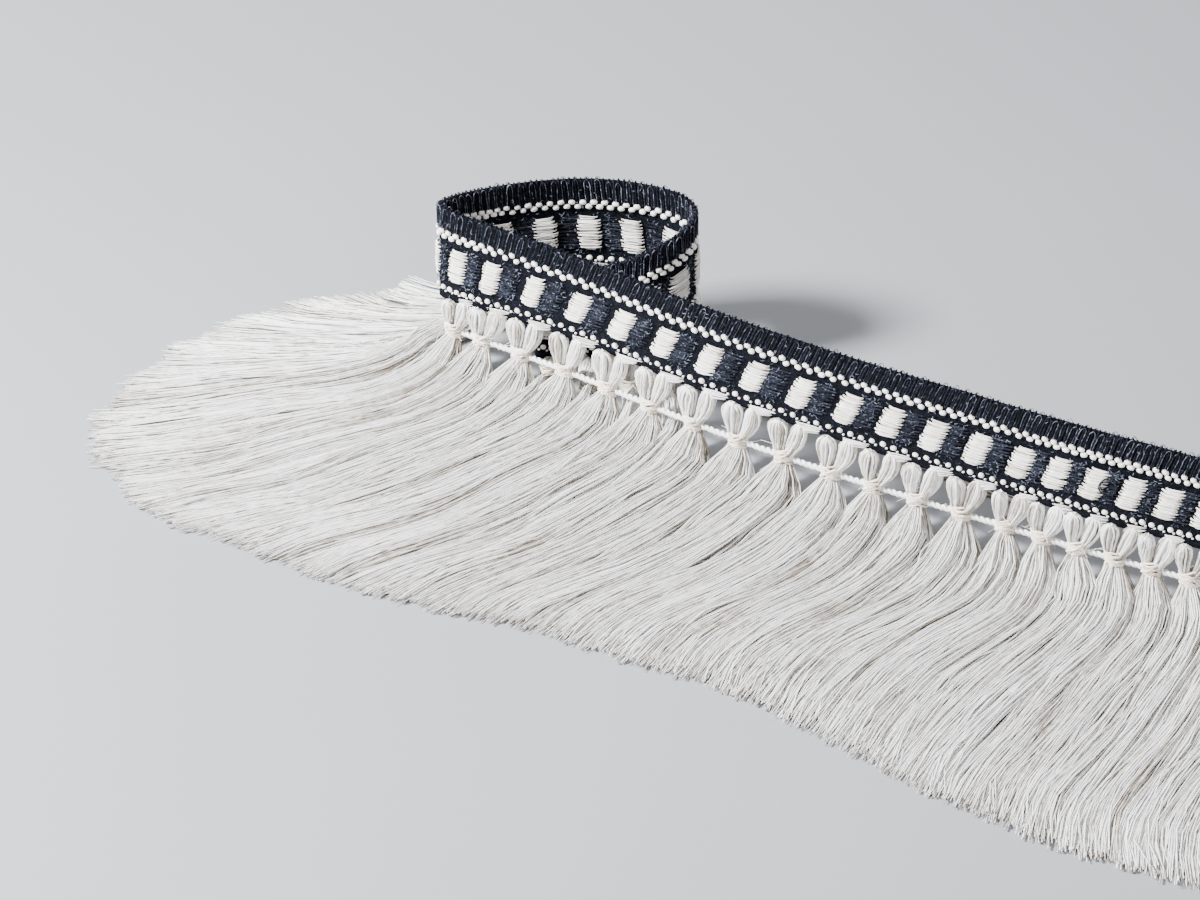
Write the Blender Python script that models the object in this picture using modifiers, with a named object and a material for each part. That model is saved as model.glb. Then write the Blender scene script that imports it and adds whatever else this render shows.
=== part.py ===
"""Tassel fringe: a woven heading tape standing on edge in a loop, with knotted tassels on the floor.

Sizes are in millimetres here and turned into metres where a mesh or curve is made. +Z is up.
The left turn of the loop is near plan (0, 0), and -Y is the front.
"""
import math
import random
from bisect import bisect_right
from collections import namedtuple

import bmesh
import bpy
from mathutils import Vector

MM = 0.001
WELD_DISTANCE = 0.000001
OBJECT_NAME = "tassel_fringe"
SEED = 41

# How finely the smooth lines are read: points between two rows of a table, and places in a search
PATH_STEPS = 14
LANE_STEPS = 16
SEARCH_STEPS = 400

# Heading tape
TAPE_DEPTH = 40.0
TAPE_THICK = 1.6
TAPE_BANDS = 2
STATION_STEP = 6.5
EDGE_ROUNDS = 3

# The line on which the tape stands, in plan, from its hidden inner end to its cut right end.
# top is the height of the upper edge, skew the slant of the woven columns in degrees.
PathRow = namedtuple("PathRow", "place x y top skew")
TAPE_PATH = (
    PathRow("inner end", 36.0, -19.5, 45.5, 0.0),
    PathRow("strip low", 53.0, -23.0, 46.5, 0.0),
    PathRow("strip mid", 70.0, -24.0, 51.0, 0.0),
    PathRow("strip high", 84.0, -23.0, 57.0, 0.0),
    PathRow("right turn front", 94.0, -17.0, 61.5, 0.0),
    PathRow("right turn", 97.5, -7.0, 63.5, 1.0),
    PathRow("right turn back", 92.0, 5.0, 63.5, 3.0),
    PathRow("back run right", 78.0, 13.0, 63.5, 5.0),
    PathRow("back run mid", 56.0, 17.5, 63.5, 5.0),
    PathRow("back run left", 33.0, 14.5, 63.5, 5.0),
    PathRow("left turn back", 9.0, 6.5, 63.5, 5.0),
    PathRow("left turn", -0.5, -1.5, 63.5, 5.0),
    PathRow("left turn front", 5.0, -8.5, 63.5, 6.0),
    PathRow("front start", 26.0, -23.0, 63.5, 14.0),
    PathRow("front left", 56.0, -45.0, 63.5, 22.0),
    PathRow("front mid left", 100.0, -79.5, 63.5, 23.0),
    PathRow("front mid", 145.0, -110.5, 63.5, 23.0),
    PathRow("front mid right", 198.0, -142.0, 63.5, 20.0),
    PathRow("front right", 238.0, -165.0, 63.5, 18.0),
    PathRow("straight start", 276.0, -185.0, 63.5, 18.0),
    PathRow("cut right end", 352.0, -225.0, 63.5, 18.0),
)

# The stretch of that line, by distance, on which each turn and the front run's start are looked for
RIGHT_TURN_X = 97.5
RIGHT_TURN_STRETCH = (0.0, 100.0)
LEFT_TURN_X = -0.5
LEFT_TURN_STRETCH = (120.0, 260.0)
FRONT_FIRST_X = 4.6
FRONT_START_STRETCH = (180.0, 260.0)
TURN_BEFORE = 8.0
TURN_AFTER = 12.0

# Tassel heads
KNOT_RADIUS = 3.8
KNOT_HALF_LENGTH = 3.6
KNOT_HEIGHT = 11.5
LOBE_THICK = 2.1
LOBE_LEAST_GAP = 0.1
LOBE_ROUNDS = 6
LEFT_LOBE_ROOT = -0.16
LEFT_LOBE_HALF = 0.17
RIGHT_LOBE_ROOT = 0.26
RIGHT_LOBE_HALF = 0.15
SPHERE_SIDES = 6
SPHERE_RINGS = 4
TOUCH_GAP = 0.35

# Link cord between neighbouring knots
LINK_RADIUS = 0.8
LINK_SAG = 1.6
LINK_POINTS = 4

# Skirt locks: each is a three-sided tube, its axis over its level base by a share of its radius
LOCKS = 6
SECTION_ANGLES = (90.0, 210.0, 330.0)
SECTION_BASE = 0.5
LOCK_GAP = 0.5
LOCK_ROOT_HALF = 0.75
LOCK_ROOT_SPREAD = 5.0
LOCK_MAX_HALF = 2.0
DROP_LENGTH = 24.0
DROP_POWER = 1.6
FRONT_WAVE = 1.2
WAVE_TURNS = 1.2
WAVE_DRIFT = 0.25
FRONT_STATIONS = 5
OUTER_STATIONS = 8
INNER_STATIONS = 8
FRONT_CROWDING = 1.45
OTHER_CROWDING = 1.1
TIP_RAGGED = 5.0

# Front run: count tassels in a row that share one pitch, left to right.
PitchRow = namedtuple("PitchRow", "section count pitch")
FRONT_PITCHES = (
    PitchRow("left turn", 1, 13.5),
    PitchRow("front start", 1, 18.4),
    PitchRow("front left and mid", 7, 20.7),
    PitchRow("front mid right", 4, 18.4),
    PitchRow("front right", 5, 14.9),
    PitchRow("beyond", 5, 15.4),
)
LAST_PITCH = 15.4

# Way in which the front skirts sweep: angle in plan, length and width, by tassel counted from 0.
SweepRow = namedtuple("SweepRow", "tassel angle reach near tip")
SWEEP_SHARES = (0.0, 0.5, 1.0)
FRONT_SWEEP = (
    SweepRow(0.0, 205.0, 149.0, 11.0, 21.5),
    SweepRow(2.0, 216.0, 164.0, 12.8, 21.0),
    SweepRow(5.0, 223.0, 156.0, 12.4, 19.5),
    SweepRow(6.0, 224.8, 150.0, 12.4, 20.0),
    SweepRow(8.0, 228.5, 139.0, 17.2, 22.0),
    SweepRow(11.0, 234.0, 135.0, 17.0, 22.5),
    SweepRow(13.0, 239.0, 142.0, 13.8, 21.0),
    SweepRow(18.0, 252.0, 164.0, 13.8, 19.0),
    SweepRow(23.0, 259.0, 168.0, 14.0, 18.0),
)

# Back run and right turn: where each tassel stands on the tape line, and the way of its skirt.
# The skirt keeps its near width up to the hold share of its length, then widens to the tip.
LaneRow = namedtuple("LaneRow", "name x side near hold tip way")
BACK_PITCH = 17.0
TURN_PITCH = 11.0
OUTER_LANES = (
    LaneRow("tassel_back_1", 16.0, "back", 6.2, 0.14, 15.5,
            ((4.0, 11.6), (-22.0, 3.5), (-70.0, -19.0), (-126.0, -47.5))),
    LaneRow("tassel_back_2", 34.0, "back", 6.2, 0.26, 13.0,
            ((23.0, 20.5), (0.0, 18.3), (-50.0, 2.3), (-117.0, -24.5))),
    LaneRow("tassel_back_3", 53.0, "back", 6.2, 0.38, 9.2,
            ((38.0, 27.4), (0.0, 25.2), (-42.0, 13.8), (-104.0, -5.0))),
    LaneRow("tassel_back_4", 72.0, "back", 6.2, 0.5, 8.2,
            ((56.0, 34.0), (20.0, 34.8), (-30.0, 25.5), (-86.0, 11.8))),
    LaneRow("tassel_back_5", 87.0, "back", 6.2, 0.66, 9.0,
            ((74.0, 35.0), (44.0, 43.0), (0.0, 39.2), (-60.0, 27.4))),
    LaneRow("tassel_turn_1", 97.3, "turn", 7.0, 0.1, 17.0,
            ((112.0, -4.0), (150.0, -22.0), (195.0, -48.0), (236.0, -73.0))),
    LaneRow("tassel_turn_2", 93.0, "strip", 7.0, 0.1, 17.0,
            ((106.0, -33.0), (145.0, -54.0), (190.0, -81.0), (226.0, -104.0))),
)

# Inner strip: each head lies on the floor, and its skirt leaves between two front knots.
# between counts front tassels, and lead is how far behind that gap the skirt has turned its way.
InnerRow = namedtuple("InnerRow", "name x between knot_out lead reach")
INNER_TASSELS = (
    InnerRow("tassel_inner_1", 85.0, 5.48, 15.0, 6.0, 116.0),
    InnerRow("tassel_inner_2", 72.0, 4.5, 14.0, 7.0, 132.0),
    InnerRow("tassel_inner_3", 58.0, 3.5, 11.5, 4.0, 142.0),
    InnerRow("tassel_inner_4", 45.0, 2.5, 7.0, 0.0, 148.0),
)
INNER_PITCH = 14.0
INNER_WIDTH = 5.0
INNER_KNOT_HEIGHT = 3.8
INNER_STRAIGHT_FROM = 8.0
INNER_SHARES = (0.4, 0.7, 1.0)

Finish = namedtuple("Finish", "name colour roughness")
NAVY_CLOTH = Finish("navy_woven_cloth", (0.016, 0.022, 0.043, 1.0), 0.9)
IVORY_YARN = Finish("ivory_yarn", (0.80, 0.77, 0.70, 1.0), 0.85)

Tassel = namedtuple("Tassel", "name foot pitch knot lane near hold tip wave phase stations")


class TapePath:
    """The smooth plan line of the tape, with its top height and skew, by distance along it."""

    def __init__(self, rows):
        values = [(row.x, row.y, row.top, row.skew) for row in rows]
        chords = [0.0]
        for first, second in zip(values, values[1:]):
            chords.append(chords[-1] + math.dist(first[:2], second[:2]))
        self.samples = hermite_samples(values, chords, PATH_STEPS)
        self.arcs = [0.0]
        for first, second in zip(self.samples, self.samples[1:]):
            self.arcs.append(self.arcs[-1] + math.dist(first[:2], second[:2]))
        self.length = self.arcs[-1]

    def at(self, arc):
        """Values (x, y, top, skew) at a distance along the line, straight on past its ends."""
        index = min(max(bisect_right(self.arcs, arc) - 1, 0), len(self.arcs) - 2)
        step = self.arcs[index + 1] - self.arcs[index]
        share = (arc - self.arcs[index]) / step
        pair = zip(self.samples[index], self.samples[index + 1])
        return tuple(low + (high - low) * share for low, high in pair)

    def surface(self, arc, depth):
        """Point of the tape's middle surface, depth below its top edge."""
        _, _, top, skew = self.at(arc)
        slant = math.radians(skew)
        x, y, _, _ = self.at(arc - depth * math.sin(slant))
        return Vector((x, y, top - depth * math.cos(slant)))

    def edge_height(self, foot):
        """Height of the lower edge over a place on the plan line."""
        arc = foot
        for _ in range(EDGE_ROUNDS):
            arc = foot + TAPE_DEPTH * math.sin(math.radians(self.at(arc)[3]))
        _, _, top, skew = self.at(arc)
        return top - TAPE_DEPTH * math.cos(math.radians(skew))

    def find_x(self, x, low, high):
        """Distance along the line, between low and high, where its plan x is nearest to x."""
        arcs = [low + (high - low) * index / SEARCH_STEPS for index in range(SEARCH_STEPS + 1)]
        return min(arcs, key=lambda arc: abs(self.at(arc)[0] - x))


def hermite_samples(values, marks, steps):
    """Points of a smooth curve through values, which stand at the distances marks."""
    slopes = []
    last = len(values) - 1
    for index in range(last + 1):
        before, after = max(index - 1, 0), min(index + 1, last)
        span = marks[after] - marks[before]
        slopes.append([(b - a) / span for a, b in zip(values[before], values[after])])
    samples = []
    for index in range(last):
        span = marks[index + 1] - marks[index]
        for step in range(steps):
            t = step / steps
            weights = (2 * t**3 - 3 * t**2 + 1, (t**3 - 2 * t**2 + t) * span,
                       3 * t**2 - 2 * t**3, (t**3 - t**2) * span)
            parts = zip(values[index], slopes[index], values[index + 1], slopes[index + 1])
            samples.append(tuple(sum(w * v for w, v in zip(weights, part)) for part in parts))
    samples.append(tuple(values[-1]))
    return samples


def table_value(rows, key, field, place):
    """Value of a field between the rows of a table, by its key column."""
    keys = [getattr(row, key) for row in rows]
    index = min(max(bisect_right(keys, place) - 1, 0), len(rows) - 2)
    low, high = rows[index], rows[index + 1]
    share = (place - keys[index]) / (keys[index + 1] - keys[index])
    return getattr(low, field) + (getattr(high, field) - getattr(low, field)) * share


def clear_scene():
    """Remove every object of the open file."""
    for item in list(bpy.data.objects):
        bpy.data.objects.remove(item, do_unlink=True)


def make_collection(name):
    """A new collection of the scene."""
    collection = bpy.data.collections.new(name)
    bpy.context.scene.collection.children.link(collection)
    return collection


def make_material(finish):
    """A plain material with the finish's colour and roughness."""
    material = bpy.data.materials.new(finish.name)
    material.use_nodes = True
    shader = material.node_tree.nodes["Principled BSDF"]
    shader.inputs["Base Color"].default_value = finish.colour
    shader.inputs["Roughness"].default_value = finish.roughness
    shader.inputs["Metallic"].default_value = 0.0
    material.diffuse_color = finish.colour
    return material


def place(item, collection):
    """Link an object to one collection only."""
    for owner in list(item.users_collection):
        owner.objects.unlink(item)
    collection.objects.link(item)
    return item


def make_heading(path, collection, material):
    """The tape as an open grid on the plan line, given its thickness by Solidify."""
    stations = round(path.length / STATION_STEP)
    bpy.ops.mesh.primitive_grid_add(x_subdivisions=stations, y_subdivisions=TAPE_BANDS, size=2.0)
    heading = bpy.context.object
    heading.name = "heading"
    heading.data.name = "heading"
    for vertex in heading.data.vertices:
        arc = (vertex.co.x + 1.0) / 2.0 * path.length
        depth = (1.0 - vertex.co.y) / 2.0 * TAPE_DEPTH
        vertex.co = path.surface(arc, depth) * MM
    solidify = heading.modifiers.new("thickness", "SOLIDIFY")
    solidify.thickness = TAPE_THICK * MM
    solidify.offset = 0.0
    heading.data.materials.append(material)
    place(heading, collection)


def make_profile(collection):
    """Three-sided section of a lock: a level base below and one ridge above."""
    curve = bpy.data.curves.new("lock_section", "CURVE")
    curve.dimensions = "2D"
    spline = curve.splines.new("POLY")
    spline.points.add(2)
    for point, angle in zip(spline.points, SECTION_ANGLES):
        point.co = (math.cos(math.radians(angle)), math.sin(math.radians(angle)), 0.0, 1.0)
    spline.use_cyclic_u = True
    profile = bpy.data.objects.new("lock_section", curve)
    profile.hide_render = True
    profile.display_type = "WIRE"
    collection.objects.link(profile)
    return profile


def make_tube(name, points, radii, profile, collection):
    """A three-sided tube through points, its base kept level, as a closed mesh object."""
    curve = bpy.data.curves.new(name, "CURVE")
    curve.dimensions = "3D"
    curve.twist_mode = "Z_UP"
    curve.bevel_mode = "OBJECT"
    curve.bevel_object = profile
    curve.use_fill_caps = True
    spline = curve.splines.new("POLY")
    spline.points.add(len(points) - 1)
    for target, point, radius in zip(spline.points, points, radii):
        target.co = (*(point * MM), 1.0)
        target.radius = radius * MM
    item = bpy.data.objects.new(name, curve)
    collection.objects.link(item)
    return item


def make_ball(name, centre, axis, length_half, width_half, thick_half, across, collection):
    """An ellipsoid with its long axis along axis and its width along across."""
    bpy.ops.mesh.primitive_uv_sphere_add(segments=SPHERE_SIDES, ring_count=SPHERE_RINGS, radius=1.0)
    ball = bpy.context.object
    ball.name = name
    long_way = axis.normalized()
    wide_way = (across - long_way * across.dot(long_way)).normalized()
    thin_way = long_way.cross(wide_way)
    for vertex in ball.data.vertices:
        local = vertex.co
        vertex.co = (centre + wide_way * local.x * width_half + thin_way * local.y * thick_half
                     + long_way * local.z * length_half) * MM
    return place(ball, collection)


def lane_points(anchors, count, crowding):
    """Plan points on a smooth line through the anchors, closer together near the knot."""
    marks = [0.0]
    for first, second in zip(anchors, anchors[1:]):
        marks.append(marks[-1] + math.dist(first, second))
    dense = hermite_samples(anchors, marks, LANE_STEPS)
    arcs = [0.0]
    for first, second in zip(dense, dense[1:]):
        arcs.append(arcs[-1] + math.dist(first, second))
    points = []
    for index in range(count):
        goal = arcs[-1] * (index / (count - 1)) ** crowding
        spot = min(max(bisect_right(arcs, goal) - 1, 0), len(arcs) - 2)
        share = (goal - arcs[spot]) / (arcs[spot + 1] - arcs[spot])
        low, high = Vector(dense[spot]), Vector(dense[spot + 1])
        points.append((goal, low.lerp(high, share), (high - low).normalized()))
    return points


def make_locks(tassel, profile, collection, rng):
    """The skirt: locks side by side that leave the knot, come down and lie level on the floor."""
    crowding = FRONT_CROWDING if tassel.stations == FRONT_STATIONS else OTHER_CROWDING
    stations = lane_points(tassel.lane, tassel.stations, crowding)
    reach = stations[-1][0]
    locks = []
    for number in range(LOCKS):
        side = (number - (LOCKS - 1) / 2) / (LOCKS - 1)
        cut = 1.0 - rng.uniform(0.0, TIP_RAGGED) / reach
        points, radii = [], []
        for goal, plan, way in stations:
            share = goal / reach
            widened = max(0.0, share - tassel.hold) / (1.0 - tassel.hold)
            spread = tassel.near + (tassel.tip - tassel.near) * widened
            opened = min(1.0, goal / DROP_LENGTH)
            width = LOCK_ROOT_SPREAD + (spread - LOCK_ROOT_SPREAD) * opened
            pitch = spread / LOCKS
            half = min(LOCK_MAX_HALF, (pitch - LOCK_GAP) / math.sqrt(3.0))
            radius = LOCK_ROOT_HALF + (half - LOCK_ROOT_HALF) * opened
            across = Vector((-way.y, way.x))
            turn = 2.0 * math.pi * WAVE_TURNS * share + tassel.phase
            wave = tassel.wave * math.sin(turn) * share
            spot = plan + across * (side * (width - 2.0 * radius) + wave)
            if goal == reach:
                spot = spot - way * (1.0 - cut) * reach
            level = radius * SECTION_BASE
            height = level + (tassel.knot.z - level) * (1.0 - opened) ** DROP_POWER
            points.append(Vector((spot.x, spot.y, height)))
            radii.append(radius)
        locks.append(make_tube(f"{tassel.name}_lock_{number}", points, radii, profile, collection))
    return locks


def make_lobes(tassel, path, collection):
    """The two loops of yarn between the knot and the tape's lower edge."""
    lobes = []
    sides = ((LEFT_LOBE_ROOT, LEFT_LOBE_HALF), (RIGHT_LOBE_ROOT, RIGHT_LOBE_HALF))
    for number, (root, half) in enumerate(sides):
        foot = tassel.foot + root * tassel.pitch
        x, y, _, _ = path.at(foot)
        ahead = path.at(foot + 1.0)
        along = Vector((ahead[0] - x, ahead[1] - y, 0.0))
        room = path.edge_height(foot) - TOUCH_GAP
        width = half * tassel.pitch
        thick = min(LOBE_THICK, room / 2.0 - LOBE_LEAST_GAP)
        head = Vector((x, y, room))
        for _ in range(LOBE_ROUNDS):
            axis = head - tassel.knot
            rise = math.hypot(axis.z / 2.0, thick * math.hypot(axis.x, axis.y) / axis.length)
            head.z += room - ((head.z + tassel.knot.z) / 2.0 + rise)
        centre = (head + tassel.knot) / 2.0
        lobes.append(make_ball(f"{tassel.name}_lobe_{number}", centre, axis, axis.length / 2.0,
                               width, thick, along, collection))
    return lobes


def make_link(tassel, target, profile, collection):
    """The cord span to the next knot, which it stops just short of."""
    way = target - tassel.knot
    length = way.length - KNOT_RADIUS - TOUCH_GAP
    points = []
    for index in range(LINK_POINTS):
        share = index / (LINK_POINTS - 1) * length / way.length
        sag = LINK_SAG * math.sin(math.pi * share)
        points.append(tassel.knot + way * share - Vector((0.0, 0.0, sag)))
    return make_tube(f"{tassel.name}_link", points, [LINK_RADIUS] * LINK_POINTS, profile, collection)


def bake(item):
    """A new mesh of the object as it is evaluated."""
    evaluated = item.evaluated_get(bpy.context.evaluated_depsgraph_get())
    return bpy.data.meshes.new_from_object(evaluated)


def curve_to_mesh(item, collection):
    """A closed mesh object in place of a curve object."""
    mesh = bake(item)
    weld_mesh(mesh)
    name = item.name
    bpy.data.objects.remove(item, do_unlink=True)
    solid = bpy.data.objects.new(name, mesh)
    collection.objects.link(solid)
    return solid


def weld_mesh(mesh):
    """Join points that coincide, and turn the faces outwards."""
    work = bmesh.new()
    work.from_mesh(mesh)
    bmesh.ops.remove_doubles(work, verts=work.verts, dist=WELD_DISTANCE)
    bmesh.ops.recalc_face_normals(work, faces=work.faces)
    work.to_mesh(mesh)
    work.free()


def make_tassel(tassel, target, path, parts, profile, material, rng):
    """One tassel: knot, lobes, locks and link cord, joined into one closed body."""
    pieces = make_collection(f"{tassel.name}_pieces")
    curves = make_locks(tassel, profile, pieces, rng)
    if target is not None:
        curves.append(make_link(tassel, target, profile, pieces))
    bpy.context.view_layer.update()
    for curve in curves:
        curve_to_mesh(curve, pieces)
    make_lobes(tassel, path, pieces)
    up = Vector((0.0, 0.0, 1.0))
    knot = make_ball(tassel.name, tassel.knot, up, KNOT_HALF_LENGTH, KNOT_RADIUS, KNOT_RADIUS,
                     Vector((1.0, 0.0, 0.0)), parts)
    union = knot.modifiers.new("join", "BOOLEAN")
    union.operation = "UNION"
    union.operand_type = "COLLECTION"
    union.collection = pieces
    union.solver = "EXACT"
    bpy.context.view_layer.update()
    mesh = bake(knot)
    weld_mesh(mesh)
    knot.modifiers.clear()
    knot.data = mesh
    mesh.name = tassel.name
    mesh.materials.clear()
    mesh.materials.append(material)
    for item in list(pieces.objects):
        bpy.data.objects.remove(item, do_unlink=True)
    bpy.data.collections.remove(pieces)


def front_feet(path):
    """Distances along the line of the front tassels, and the pitch at each."""
    start = path.find_x(FRONT_FIRST_X, *FRONT_START_STRETCH)
    feet, pitches = [start], []
    for row in FRONT_PITCHES:
        for _ in range(row.count):
            feet.append(feet[-1] + row.pitch)
            pitches.append(row.pitch)
    pitches.append(LAST_PITCH)
    return feet, pitches


def sweep_point(path, feet, index, distance):
    """Plan point on the sweep line of a front tassel, or between two where index is no whole number."""
    low = min(int(index), len(feet) - 2)
    foot = feet[low] + (feet[low + 1] - feet[low]) * (index - low)
    x, y, _, _ = path.at(foot)
    angle = math.radians(table_value(FRONT_SWEEP, "tassel", "angle", index))
    return (x + math.cos(angle) * distance, y + math.sin(angle) * distance)


def front_tassels(path, feet, pitches):
    """The tassels of the front run, left to right."""
    tassels = []
    for index, (foot, pitch) in enumerate(zip(feet, pitches)):
        x, y, _, _ = path.at(foot)
        reach = table_value(FRONT_SWEEP, "tassel", "reach", index)
        lane = [sweep_point(path, feet, index, reach * share) for share in SWEEP_SHARES]
        near = table_value(FRONT_SWEEP, "tassel", "near", index)
        tip = table_value(FRONT_SWEEP, "tassel", "tip", index)
        knot = Vector((x, y, KNOT_HEIGHT))
        tassels.append(Tassel(f"tassel_front_{index + 1:02d}", foot, pitch, knot, lane, near, 0.0,
                              tip, FRONT_WAVE, index * WAVE_DRIFT, FRONT_STATIONS))
    return tassels


def outer_tassels(path, strip_end, turn_end, back_end):
    """The tassels of the back run and the right turn, whose skirts pass behind or outside."""
    limits = {"back": (turn_end, back_end), "turn": (strip_end, turn_end), "strip": (0.0, strip_end)}
    tassels = []
    for row in OUTER_LANES:
        foot = path.find_x(row.x, *limits[row.side])
        x, y, _, _ = path.at(foot)
        pitch = BACK_PITCH if row.side == "back" else TURN_PITCH
        knot = Vector((x, y, KNOT_HEIGHT))
        tassels.append(Tassel(row.name, foot, pitch, knot, [(x, y), *row.way], row.near,
                              row.hold, row.tip, 0.0, 0.0, OUTER_STATIONS))
    return tassels


def inner_tassels(path, feet, strip_end):
    """The tassels of the inner strip, whose knots lie on the floor inside the loop."""
    tassels = []
    for row in INNER_TASSELS:
        foot = path.find_x(row.x, 0.0, strip_end)
        x, y, _, _ = path.at(foot)
        gate = Vector(sweep_point(path, feet, row.between, 0.0))
        way = (gate - Vector((x, y))).normalized()
        knot = Vector((x + way.x * row.knot_out, y + way.y * row.knot_out, INNER_KNOT_HEIGHT))
        lane = [(knot.x, knot.y)]
        distances = [-row.lead, INNER_STRAIGHT_FROM, *(row.reach * share for share in INNER_SHARES)]
        lane += [sweep_point(path, feet, row.between, distance) for distance in distances]
        tassels.append(Tassel(row.name, foot, INNER_PITCH, knot, lane, INNER_WIDTH, 0.0,
                              INNER_WIDTH, FRONT_WAVE, row.between * WAVE_DRIFT, INNER_STATIONS))
    return tassels


def stand_on_origin(collection):
    """Move every piece so that the whole stands on the plan origin, at the middle of its box."""
    bpy.context.view_layer.update()
    graph = bpy.context.evaluated_depsgraph_get()
    corners = []
    for item in collection.objects:
        evaluated = item.evaluated_get(graph)
        corners += [item.matrix_world @ Vector(corner) for corner in evaluated.bound_box]
    low = Vector([min(corner[axis] for corner in corners) for axis in range(3)])
    high = Vector([max(corner[axis] for corner in corners) for axis in range(3)])
    shift = Vector((-(low.x + high.x) / 2.0, -(low.y + high.y) / 2.0, -low.z))
    for item in collection.objects:
        for vertex in item.data.vertices:
            vertex.co += shift


def main():
    """Build the tape and every tassel, and stand the whole on the origin."""
    clear_scene()
    rng = random.Random(SEED)
    parts = make_collection(OBJECT_NAME)
    guides = make_collection("guides")
    navy = make_material(NAVY_CLOTH)
    ivory = make_material(IVORY_YARN)
    path = TapePath(TAPE_PATH)
    profile = make_profile(guides)
    make_heading(path, parts, navy)

    right_turn = path.find_x(RIGHT_TURN_X, *RIGHT_TURN_STRETCH)
    left_turn = path.find_x(LEFT_TURN_X, *LEFT_TURN_STRETCH)
    feet, pitches = front_feet(path)
    front = front_tassels(path, feet, pitches)
    outer = outer_tassels(path, right_turn - TURN_BEFORE, right_turn + TURN_AFTER, left_turn)
    inner = inner_tassels(path, feet, right_turn)
    for tassel, following in zip(front, front[1:] + [None]):
        target = following.knot if following else None
        make_tassel(tassel, target, path, parts, profile, ivory, rng)
    for tassel in outer + inner:
        make_tassel(tassel, None, path, parts, profile, ivory, rng)
    stand_on_origin(parts)


main()
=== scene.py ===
"""Dresses the tassel fringe: woven heading, beads, floats, tassel heads, link cords and skirts.

Sizes are in millimetres in the fringe's own plan, whose left turn is near (0, 0), and become metres
where a mesh is made. Lengths along the heading are called arc, depth counts down from its top edge,
and lift stands off its middle surface towards the inside of the loop. Tone runs from 0, the shade of
a finish, to 1, its palest; it holds each yarn's own random tone and, on the skirts, lobes and floats,
painted shade. Where a field that is drawn at random holds two numbers, they are its least and most.
"""

import logging
import math
from dataclasses import dataclass, field
from enum import Enum

import bmesh
import bpy
import numpy as np
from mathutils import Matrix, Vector


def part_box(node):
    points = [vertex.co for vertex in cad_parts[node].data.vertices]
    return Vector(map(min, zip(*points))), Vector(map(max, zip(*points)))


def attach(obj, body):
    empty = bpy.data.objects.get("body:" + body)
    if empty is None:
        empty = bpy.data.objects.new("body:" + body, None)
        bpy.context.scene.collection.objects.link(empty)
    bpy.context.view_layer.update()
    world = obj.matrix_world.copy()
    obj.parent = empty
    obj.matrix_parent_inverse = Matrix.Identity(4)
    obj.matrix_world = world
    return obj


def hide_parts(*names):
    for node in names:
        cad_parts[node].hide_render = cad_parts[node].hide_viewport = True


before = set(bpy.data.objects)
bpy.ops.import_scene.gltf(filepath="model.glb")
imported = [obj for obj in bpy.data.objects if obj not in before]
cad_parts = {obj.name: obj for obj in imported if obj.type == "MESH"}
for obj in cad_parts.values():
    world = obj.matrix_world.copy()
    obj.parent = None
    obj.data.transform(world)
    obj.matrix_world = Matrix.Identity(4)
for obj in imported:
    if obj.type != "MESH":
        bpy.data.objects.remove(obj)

LOG = logging.getLogger("tassel_fringe")
MM = 0.001
TURN = 2.0 * math.pi
SEED = 41
WEAVE_MAP = "weave"


class Face(Enum):
    """The two faces of the heading, by the sign of their lift."""

    OUTER = -1.0
    INNER = 1.0


class Sides(Enum):
    """How many sides the section of a yarn has."""

    LOOSE = 3
    CLOSE = 4


class Run(Enum):
    """The stretches of the loop on which the outer tassels stand."""

    BACK = "back run"
    TURN = "right turn"
    STRIP = "inner strip"


@dataclass(frozen=True)
class PathRow:
    """One place on the heading's plan line, with the top edge's height and the columns' slant."""

    place: str
    x: float
    y: float
    top: float
    skew: float


@dataclass(frozen=True)
class PitchRow:
    """A run of equally spaced tassels or pattern repeats."""

    section: str
    count: int
    pitch: float


@dataclass(frozen=True)
class SweepRow:
    """How the front skirts lie at one tassel, counted from 0.

    The angles are in plan: from the knot to the tips, where the yarns leave the knot, and where they
    end. The wave bends the middle to the left, and the hook turns the tips to the front.
    """

    tassel: float
    angle: float
    reach: float
    leave: float
    land: float
    wave: float
    hook: float


@dataclass(frozen=True)
class LaneRow:
    """An outer tassel: where it stands, the way that its skirt takes and the widths of the skirt."""

    name: str
    x: float
    run: Run
    near: float
    hold: float
    tip: float
    way: tuple


@dataclass(frozen=True)
class InnerRow:
    """A tassel of the inner strip, whose skirt leaves between two front knots."""

    name: str
    x: float
    between: float
    knot_out: float
    lead: float
    reach: float


@dataclass(frozen=True)
class LobeRow:
    """One of the two lobes of a head: where its spine runs and how it swells along it."""

    name: str
    neck: float
    top: float
    depth: float
    forward: float
    half: float
    grow: float
    deep: float
    bulge: float
    swell: tuple


@dataclass(frozen=True)
class BeadRow:
    """A row of woven beads: its place in a repeat, half the sizes of a bead, and its facets."""

    name: str
    place: float
    depth: float
    half: tuple
    segments: int = 8
    rings: int = 5


@dataclass(frozen=True)
class BlockRow:
    """A woven block of floats: its place in a repeat, its width, and how its floats lie.

    Every other float runs past its neighbour by the jag, and stands off the cloth by the height.
    """

    name: str
    place: float
    half: float
    floats: int
    jag: float
    height: float
    palest: float


@dataclass(frozen=True)
class LightRow:
    """A soft square light that faces the middle of the scene, in metres and watts."""

    name: str
    place: tuple
    size: float
    power: float


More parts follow.
